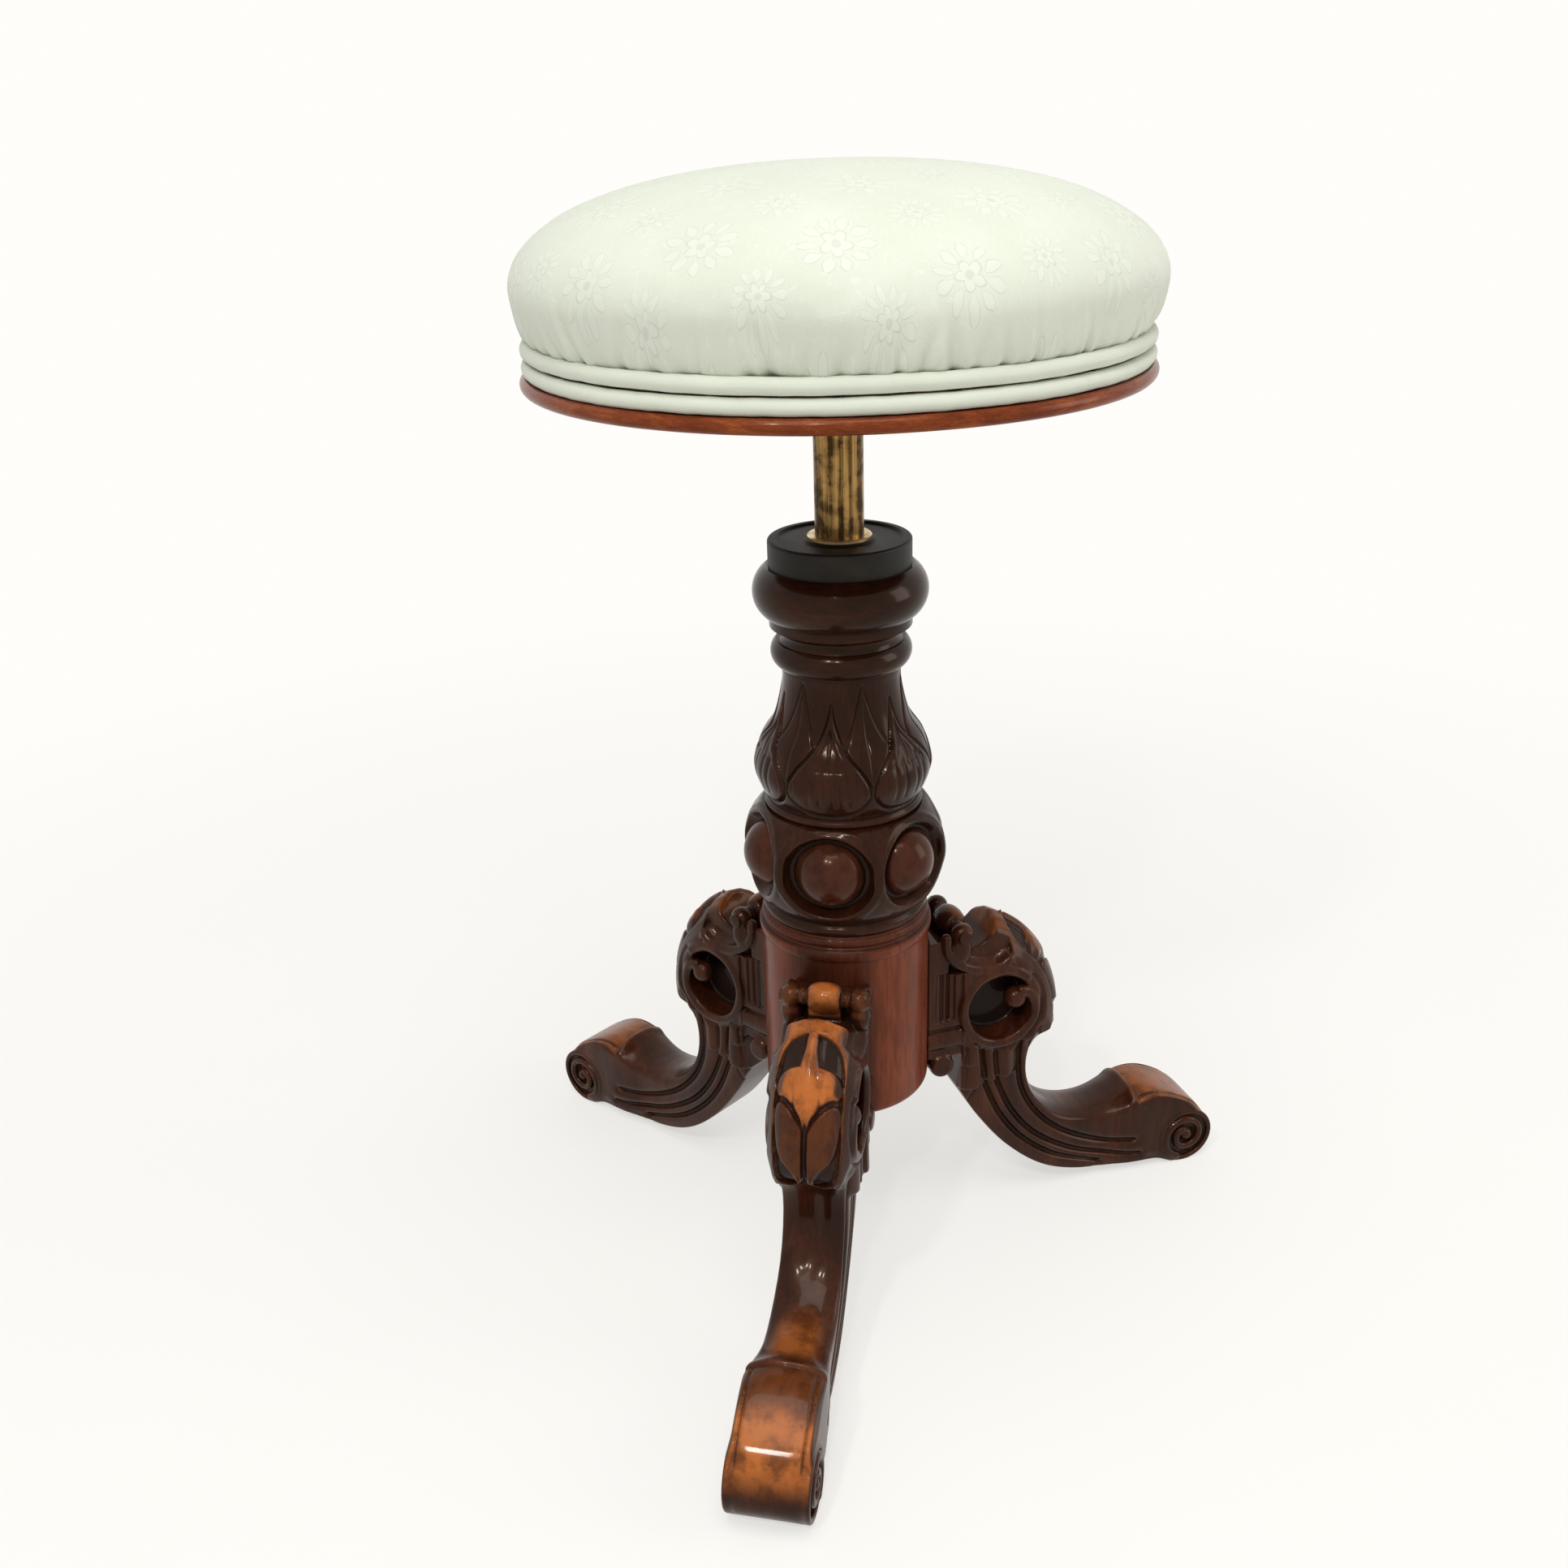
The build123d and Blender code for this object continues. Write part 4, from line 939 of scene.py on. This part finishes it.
def rosette(sh, x, y, petals, size):
    """A rosette in a wreath of leaves about the middle of a repeat: its form, and its drawn lines."""
    angle, reach = sh.math("ARCTAN2", y, x), sh.math("SQRT", x * x + y * y)
    lobes = abs(sh.math("COSINE", angle * (petals / 2)))
    edge = lobes * (size * 0.55) + size * 0.6 - reach
    heart = reach.step(size * 0.36, size * 0.30)
    along = (reach - size * 1.15) * (1 / (size * 1.5))
    width = sh.math("SINE", sh.math("MINIMUM", along.at_least(0.0), 1.0) * pi)
    leaf = width * 1.5 - (1.0 - sh.math("COSINE", (angle + 0.4) * (2 * petals)))
    form = edge.step(0.0, 0.008).at_least(leaf.step(0.0, 0.25))
    leaf_line = abs(leaf).step(0.22, 0.06) * width.step(0.02, 0.12)
    return form, abs(edge).step(0.010, 0.003).at_least(heart * 0.8).at_least(leaf_line)


def damask_figure(sh, place, x, y, colour, figure, line):
    """Two staggered sets of rosettes with thin stems between them: the new colour, and the satin."""
    repeat, drift = 0.056, sh.noise(place, 70.0, 2.0)
    x, y = (drift * 0.006 + x) * (1 / repeat), (drift * -0.006 + y) * (1 / repeat)
    forms = []
    for shift, petals, size in ((0.0, 5, 0.11), (0.5, 6, 0.085)):
        within = [sh.math("FRACT", way + shift) - 0.5 for way in (x, y)]
        form, lines = rosette(sh, *within, petals, size)
        colour = sh.mix(lines * 0.5, sh.mix(form * 0.20, colour, figure), line)
        forms.append(form)
    satin = forms[0].at_least(forms[1])
    curl = abs(sh.noise(place, 95.0, 1.0, 0.4, 1.6) - 0.5)
    stems = curl.step(0.018, 0.006) * (1.0 - satin)
    return sh.mix(stems * 0.27, colour, figure), satin.at_least(stems * 0.6)


def damask(name, figured):
    """Duck-egg cloth: a generic damask, satin on a matt ground, or the same cloth unfigured."""
    sh = Shader(name, Sheen_Weight=0.2, Sheen_Roughness=0.4, Specular_IOR_Level=0.25)
    ground, shade = (0.612, 0.648, 0.553), (0.652, 0.683, 0.592)
    figure, line = (0.740, 0.765, 0.690), (0.440, 0.500, 0.430)
    thread, matt, satin_gloss = 0.00062, 0.84, 0.28
    place = sh.place("cloth_place")
    x, y = sh.split(place)
    colour = sh.mix(sh.noise(place, 16.0, 3.0, 0.55).step(0.3, 0.7), ground, shade)
    slub = sh.noise(sh.place("cloth_place", (1, 0.15, 1)), 700.0, 2.0, 0.6)
    rough, relief = matt, slub
    if figured:
        colour, satin = damask_figure(sh, place, x, y, colour, figure, line)
        rough, relief = matt - satin * satin_gloss, satin * 0.8
    height = (sh.weave(x, y, thread) * 0.5 + 0.5) * 0.3 + relief
    return sh.finish(Base_Color=sh.mix(slub * 0.14, colour, line), Roughness=rough,
                     Normal=sh.bump(height, 0.3, 0.0003))


walnut = wood("walnut_carved", ((0.014, 0.0038, 0.0018), (0.034, 0.0085, 0.0036), (0.068, 0.0185, 0.0078)),
              True, 0.27, coat=0.16)
column_walnut = wood("walnut_column", ((0.0100, 0.0030, 0.0016), (0.0205, 0.0060, 0.0030),
                                       (0.0410, 0.0125, 0.0062)), True, 0.20, golden=(0.125, 0.034, 0.019))
capital_walnut = wood("walnut_capital", ((0.0095, 0.0034, 0.0018), (0.0200, 0.0066, 0.0034),
                                         (0.0440, 0.0145, 0.0078)), gloss=0.18, grain=(0.3, 0.3, 1))
drum_walnut = wood("walnut_drum", ((0.066, 0.0130, 0.0058), (0.135, 0.0280, 0.0120), (0.200, 0.0480, 0.0210)),
                   True, 0.25, golden=(0.22, 0.075, 0.036))
mahogany = wood("mahogany_rim", ((0.100, 0.018, 0.005), (0.180, 0.036, 0.009), (0.300, 0.078, 0.020)),
                gloss=0.20, grain=(1, 1, 6))
beech = wood("beech_frame", ((0.33, 0.19, 0.095), (0.46, 0.29, 0.155), (0.56, 0.38, 0.22)), gloss=0.55)
ring_wood = wood("lignum_ring", ((0.10, 0.055, 0.028), (0.16, 0.095, 0.05), (0.22, 0.14, 0.08)), gloss=0.4)
black_collar = ebonised()
tube_brass = brass("brass_tube", (0.39, 0.230, 0.075), (0.052, 0.029, 0.012), 0.8)
bush_brass = brass("brass_bush", (0.80, 0.62, 0.33), (0.40, 0.27, 0.12), 0.25)
black_iron = metal("iron_black", (0.035, 0.033, 0.032), 0.52, 0.6, 0.4)
steel = metal("steel_dull", (0.42, 0.41, 0.39), 0.42, 0.7)
screw_steel = metal("steel_oiled", (0.33, 0.31, 0.28), 0.34, 0.6)
blued = metal("steel_blued", (0.09, 0.10, 0.13), 0.35, 0.7)
cloth = damask("damask_figured", True)
cord_cloth = damask("damask_plain", False)
hessian_cloth = plain_cloth("hessian", (0.50, 0.37, 0.22), 0.0016, 0.0004)
web_cloth = plain_cloth("jute_web", (0.55, 0.44, 0.29), 0.0024, 0.0006)

node_looks = (
    (capital_walnut, ("capital",)), (black_collar, ("column_cap",)), (screw_steel, ("lifting_screw",)),
    (ring_wood, ("steady_ring",)), (mahogany, ("seat_board",)), (blued, ("cover_tacks",)),
    (tube_brass, ("stem_tube",)), (bush_brass, ("guide_bush", "lift_nut")),
    (beech, ("leg_dowels", "seat_ring", "cross_rail")),
    (black_iron, ("base_plate", "screw_lock_nut", "screw_jam_nut", "seat_plate")),
    (steel, ("base_plate_screws", "stop_washer", "split_pin", "nut_pins", "ring_clip", "stem_pin",
             "seat_plate_screws", "ring_screws")),
)
for material, nodes in node_looks:
    for node in nodes:
        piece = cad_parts[node]
        if not piece.material_slots:
            piece.data.materials.append(material)
        for place in piece.material_slots:
            place.material = material


def dress(piece, material, body, slot, *replaced):
    """Gives a piece its material and its body, and hides the nodes that it stands for; its slot is not used.
    """
    piece.data.materials.clear()
    piece.data.materials.append(material)
    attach(piece, body)
    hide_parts(*replaced)


# ---------- upholstery
def cushion_profile(inset, foot):
    """Half outline of the cushion from its crown to its drawn-in foot, in millimetres."""
    waist_z, foot_r = ring_top + 21.0, cushion_r - 8.0 - inset * 0.4
    rise, reach = crown_z - inset - waist_z, cushion_r - inset
    roundness = 2 / 2.2
    crown = [(reach * sin(a) ** roundness, waist_z + rise * max(cos(a), 0.0) ** roundness)
             for a in np.linspace(0, pi / 2, 40)]
    flank = (foot_r + (reach - foot_r) * 0.55, waist_z - (waist_z - foot) * 0.62)
    return np.array(crown + curve([crown[-1], flank, (foot_r, foot)], 10))


def revolve_profile(name, profile, turns):
    """Closed shell from a half outline that starts on the axis and ends on it."""
    angles = np.arange(turns) * tau / turns
    rows = profile[1:-1]
    points = [(0, 0, profile[0][1])]
    points += [(r * cos(a), r * sin(a), z) for r, z in rows for a in angles]
    points.append((0, 0, profile[-1][1]))
    pairs = [(i, (i + 1) % turns) for i in range(turns)]
    top, last, end = 1, len(points) - 1, 1 + (len(rows) - 1) * turns
    faces = [(0, top + i, top + after) for i, after in pairs]
    for row in range(len(rows) - 1):
        upper, lower = top + row * turns, top + (row + 1) * turns
        faces += [(upper + i, lower + i, lower + after, upper + after) for i, after in pairs]
    faces += [(last, end + after, end + i) for i, after in pairs]
    return add_mesh(name, np.array(points) * MM, faces)


def bake(piece):
    """Keeps the result of a piece's modifiers as its own mesh."""
    graph = bpy.context.evaluated_depsgraph_get()
    mesh = bpy.data.meshes.new_from_object(piece.evaluated_get(graph), depsgraph=graph)
    piece.modifiers.clear()
    piece.data = mesh


def inflate(piece, foot):
    """Cloth under pressure from the stuffing, held at its stitched foot."""
    before, frames, limit = point_values(piece, "co"), 20, 9.0 * MM
    held = np.flatnonzero(before[:, 2] < (foot + 6.0) * MM)
    piece.vertex_groups.new(name="held").add(held.tolist(), 1.0, "REPLACE")
    modifier = piece.modifiers.new("cloth", "CLOTH")
    settings, cache = modifier.settings, modifier.point_cache
    settings.use_pressure = True
    settings.uniform_pressure_force = 4.0
    settings.tension_stiffness = settings.compression_stiffness = 12.0
    settings.bending_stiffness = 0.4
    settings.vertex_group_mass = "held"
    settings.effector_weights.gravity = 0.0
    cache.frame_start, cache.frame_end = 1, frames
    for number in range(1, frames + 1):
        bpy.context.scene.frame_set(number)
    bake(piece)
    bpy.context.scene.frame_set(1)
    move = point_values(piece, "co") - before
    length = np.linalg.norm(move, axis=1)
    put_points(piece, before + move * np.minimum(1, limit / np.maximum(length, 1e-9))[:, None])


def fit_cushion(points, foot):
    """Brings the swollen cloth back to the measured crown and waist, keeping its soft unevenness."""
    centre_z, strength = ring_top + 18.0, 0.82
    radius, height = np.hypot(points[:, 0], points[:, 1]) / MM, points[:, 2] / MM - centre_z
    reach, angle = np.hypot(radius, height), np.arctan2(height, radius)
    line_r, line_z = (cushion_profile(0.0, foot) - (0, centre_z))[::-1].T
    line_angle = np.arctan2(line_z, line_r)
    target = np.interp(angle, line_angle, np.hypot(line_r, line_z))
    pull = np.where(angle > line_angle[0], strength, 0.0)
    scale = 1 + pull * (target / np.maximum(reach, 1) - 1)
    return np.stack([points[:, 0] * scale, points[:, 1] * scale, (centre_z + height * scale) * MM], 1)


def pucker(points, foot):
    """Small gathers that rise from the cord, deeper where the cover was pulled down."""
    draw = np.random.default_rng(7)
    angle = np.arctan2(points[:, 1], points[:, 0])
    radius, up = np.hypot(points[:, 0], points[:, 1]), points[:, 2] / MM - foot
    depth, turn = np.zeros(len(points)), 0.0
    while turn < tau:
        turn += draw.uniform(0.055, 0.17)
        width, strength, tall = draw.uniform(1.6, 3.4), draw.uniform(0.5, 2.3), draw.uniform(7, 19)
        lean = draw.uniform(-0.35, 0.35)
        across = ((angle - turn + pi) % tau - pi) * radius / MM - lean * up
        fold = trough(across, width) - 0.45 * trough(np.abs(across) - 1.9 * width, width)
        depth += strength * fold * np.exp(-((np.maximum(up, 0) / tall) ** 1.6))
    depth *= (up > -2) & (up < 40)
    broad = 0.7 * np.sin(angle * 5 + 1.0) * trough(up - 16, 12) + 0.4 * np.sin(angle * 13 + up * 0.05)
    shift = (broad * (up < 60) - depth) * MM
    result = points.copy()
    result[:, :2] *= (1 + shift / np.maximum(radius, 1e-6))[:, None]
    return result


def cloth_place(points):
    """Where each point lies on the flat cloth: its way from the crown along the cushion."""
    x, y, z = points.T
    radius, down = np.hypot(x, y), crown_z * MM - z
    way = np.sqrt(radius**2 + 0.55 * down**2) + 0.45 * np.maximum(down - 0.03, 0)
    share = way / np.maximum(radius, 1e-6)
    return np.stack([x * share, y * share, np.zeros(len(points))], 1)


def make_cushion():
    """Damask cushion on its stuffing: swollen by a cloth simulation, fitted and gathered at its foot."""
    foot = span("piping_upper", 2)[1] - 1.6
    inset, hem, hem_drop = 6.0, 6.0, 2.0
    outline = list(cushion_profile(inset, foot))
    outline += [(outline[-1][0] - hem, foot - hem_drop), (0.0, foot - hem_drop)]
    cushion = revolve_profile("seat_cushion", outline, 96)
    remesh = cushion.modifiers.new("remesh", "REMESH")
    remesh.mode, remesh.voxel_size = "VOXEL", 5.0 * MM
    bake(cushion)
    inflate(cushion, foot)
    put_points(cushion, fit_cushion(point_values(cushion, "co"), foot))
    cushion.modifiers.new("fine", "SUBSURF").levels = 2
    bake(cushion)
    points = pucker(point_values(cushion, "co"), foot)
    points[:, 2] = np.minimum(points[:, 2], crown_z * MM)
    radius, limit = np.hypot(points[:, 0], points[:, 1]), (cushion_r + 0.8) * MM
    points[:, :2] *= (np.minimum(radius, limit) / np.maximum(radius, 1e-9))[:, None]
    put_points(cushion, points)
    set_attribute(cushion, "cloth_place", cloth_place(points))
    cushion.data.shade_smooth()
    dress(cushion, cloth, "seat", "damask", "seat_cover", "wadding", "stuffing_pad")


def make_cord(node, seed):
    """Covered cord round the seat: a little uneven, with the cloth's seam on its inner side."""
    low, high = span(node, 2)
    radius, middle = (high - low) / 2, (high + low) / 2
    ring_r = span(node, 0)[1] - radius
    angle = np.arange(900)[None, :] * tau / 900
    side = np.arange(28)[:, None] * tau / 28
    draw = np.random.default_rng(seed)

    def waves(least, most, *counts):
        return sum(draw.uniform(least, most) * np.sin(angle * k + draw.uniform(0, tau)) for k in counts)

    wander = waves(0.02, 0.10, 3, 7, 11, 19, 31, 43) * 0.8
    section = radius - 0.12 + waves(0.01, 0.05, 5, 13, 29, 61, 97) - 0.5 * trough(side - pi, 0.25)
    out, z = ring_r + section * np.cos(side), middle + wander + section * np.sin(side)
    points = np.stack([out * np.cos(angle), out * np.sin(angle), z], -1).reshape(-1, 3) * MM
    _, cord = add_sheet(node + "_cord", points, out.shape)
    along, about = np.broadcast_arrays(angle * ring_r * MM, side * radius * MM)
    bias = np.stack([along + about, along - about, np.zeros(out.shape)], -1).reshape(-1, 3)
    set_attribute(cord, "cloth_place", bias * cos(pi / 4))
    dress(cord, cord_cloth, "seat", "damask_cord", node)


def make_layers():
    """Hessian and webbing under the stuffing, as woven sheets with their own thickness."""
    for node, material, slot in (("hessian", hessian_cloth, "hessian"),
                                 ("webbing_lower", web_cloth, "jute_web"),
                                 ("webbing_upper", web_cloth, "jute_web")):
        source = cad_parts[node]
        layer = source.copy()
        layer.name, layer.data, layer.parent = node + "_woven", source.data.copy(), None
        layer.matrix_world = source.matrix_world.copy()
        bpy.context.scene.collection.objects.link(layer)
        dress(layer, material, "seat", slot, node)


# ---------- stage, light and camera
def show_white(nodes, kind, share):
    """Mixes a plain pale background into a floor or world as cameras and shiny or clear things see it."""
    rays = nodes.node("LightPath", {}).outputs
    seen = nodes.math("MAXIMUM", rays["Is Camera Ray"], rays["Is Glossy Ray"])
    seen = seen.at_least(rays["Is Transmission Ray"])
    white = nodes.node(kind, {"Color": (1.0, 0.985, 0.955), "Strength": 1.0})
    outputs = ("OUTPUT_MATERIAL", "OUTPUT_WORLD")
    surface = next(node for node in nodes.tree.nodes if node.type in outputs).inputs["Surface"]
    lit = surface.links[0].from_socket
    mixed = nodes.node("MixShader", {0: seen * share, 1: lit, 2: white.outputs[0]})
    nodes.put(surface, mixed.outputs[0])


def make_stage():
    """Pale floor that keeps the stool's soft shadow and fades into a pale backdrop."""
    reach = 7.0
    corners = [(-reach, -reach, 0), (reach, -reach, 0), (reach, reach, 0), (-reach, reach, 0)]
    floor = add_mesh("floor", corners, [(0, 1, 2, 3)])
    sh = Shader("floor_pale", Roughness=0.6, Specular_IOR_Level=0.2)
    place = sh.place()
    sh.finish(Base_Color=sh.mix(sh.noise(place, 6.0, 2.0), (0.86, 0.845, 0.815), (0.89, 0.875, 0.85)))
    from_middle = Value(sh, sh.node("VectorMath", {0: place}, operation="LENGTH").outputs["Value"])
    show_white(sh, "Emission", from_middle.step(0.2, 1.4, 0.62, 1.0))
    floor.data.materials.append(sh.material)

    world = bpy.data.worlds.new("studio")
    bpy.context.scene.world = world
    world.use_nodes = True
    nodes = Nodes(world.node_tree)
    background = world.node_tree.nodes["Background"].inputs
    nodes.put(background["Color"], (1.0, 0.985, 0.96))
    nodes.put(background["Strength"], 0.45)
    show_white(nodes, "Background", 1.0)


def make_lights():
    """A broad lamp overhead, two small bright ones in front and a soft one from the right."""
    for name, place, size, power, colour in (
            ("overhead", (0.1, -0.6, 2.4), (1.3, 1.3), 25, (1.0, 0.99, 0.965)),
            ("lamp_left", (-0.42, -1.55, 2.0), (0.12, 0.20), 11, (1.0, 0.99, 0.97)),
            ("lamp_right", (0.06, -1.65, 2.0), (0.11, 0.18), 8, (1.0, 0.99, 0.97)),
            ("side", (1.9, 0.2, 0.9), (0.8, 1.2), 10, (1.0, 0.97, 0.93))):
        light = bpy.data.lights.new(name, "AREA")
        light.shape = "RECTANGLE"
        light.size, light.size_y = size
        light.energy = power
        light.color = colour
        lamp = add_object(name, light)
        lamp.location = place
        aim = Vector((0, 0, 0.3)) - Vector(place)
        lamp.rotation_euler = aim.to_track_quat("-Z", "Y").to_euler()


def make_camera():
    """The photograph's view: focal length in pixels, pitch, yaw, roll and place."""
    image_px, focal_px = 1932, 1942.0
    pitch, yaw, roll, leg_turn = (radians(angle) for angle in (23.68, -2.35, -1.81, 10.23))
    distance, height = 0.7941, 0.6445
    forward = Vector((sin(yaw) * cos(pitch), cos(yaw) * cos(pitch), -sin(pitch)))
    level_right = Vector((cos(yaw), -sin(yaw), 0))
    level_up = level_right.cross(forward)
    right = level_right * cos(roll) + level_up * sin(roll)
    up = level_up * cos(roll) - level_right * sin(roll)
    lens = bpy.data.cameras.new("camera")
    lens.sensor_width = 36.0
    lens.lens = focal_px / image_px * lens.sensor_width
    lens.clip_start = 0.01
    camera = add_object("camera", lens)
    turn = Matrix.Rotation(leg_turn, 3, "Z")
    placed = Matrix([turn @ right, turn @ up, turn @ -forward]).transposed().to_4x4()
    placed.translation = turn @ Vector((0, -distance, height))
    camera.matrix_world = placed
    bpy.context.scene.camera = camera


# ---------- build
voxel = 0.8
make_legs(voxel)
make_roundel_block(voxel)
make_vase()
make_drum()
make_cushion()
make_cord("piping_upper", 3)
make_cord("piping_lower", 5)
make_layers()
make_stage()
make_lights()
make_camera()
bpy.context.scene.view_settings.view_transform = "Standard"
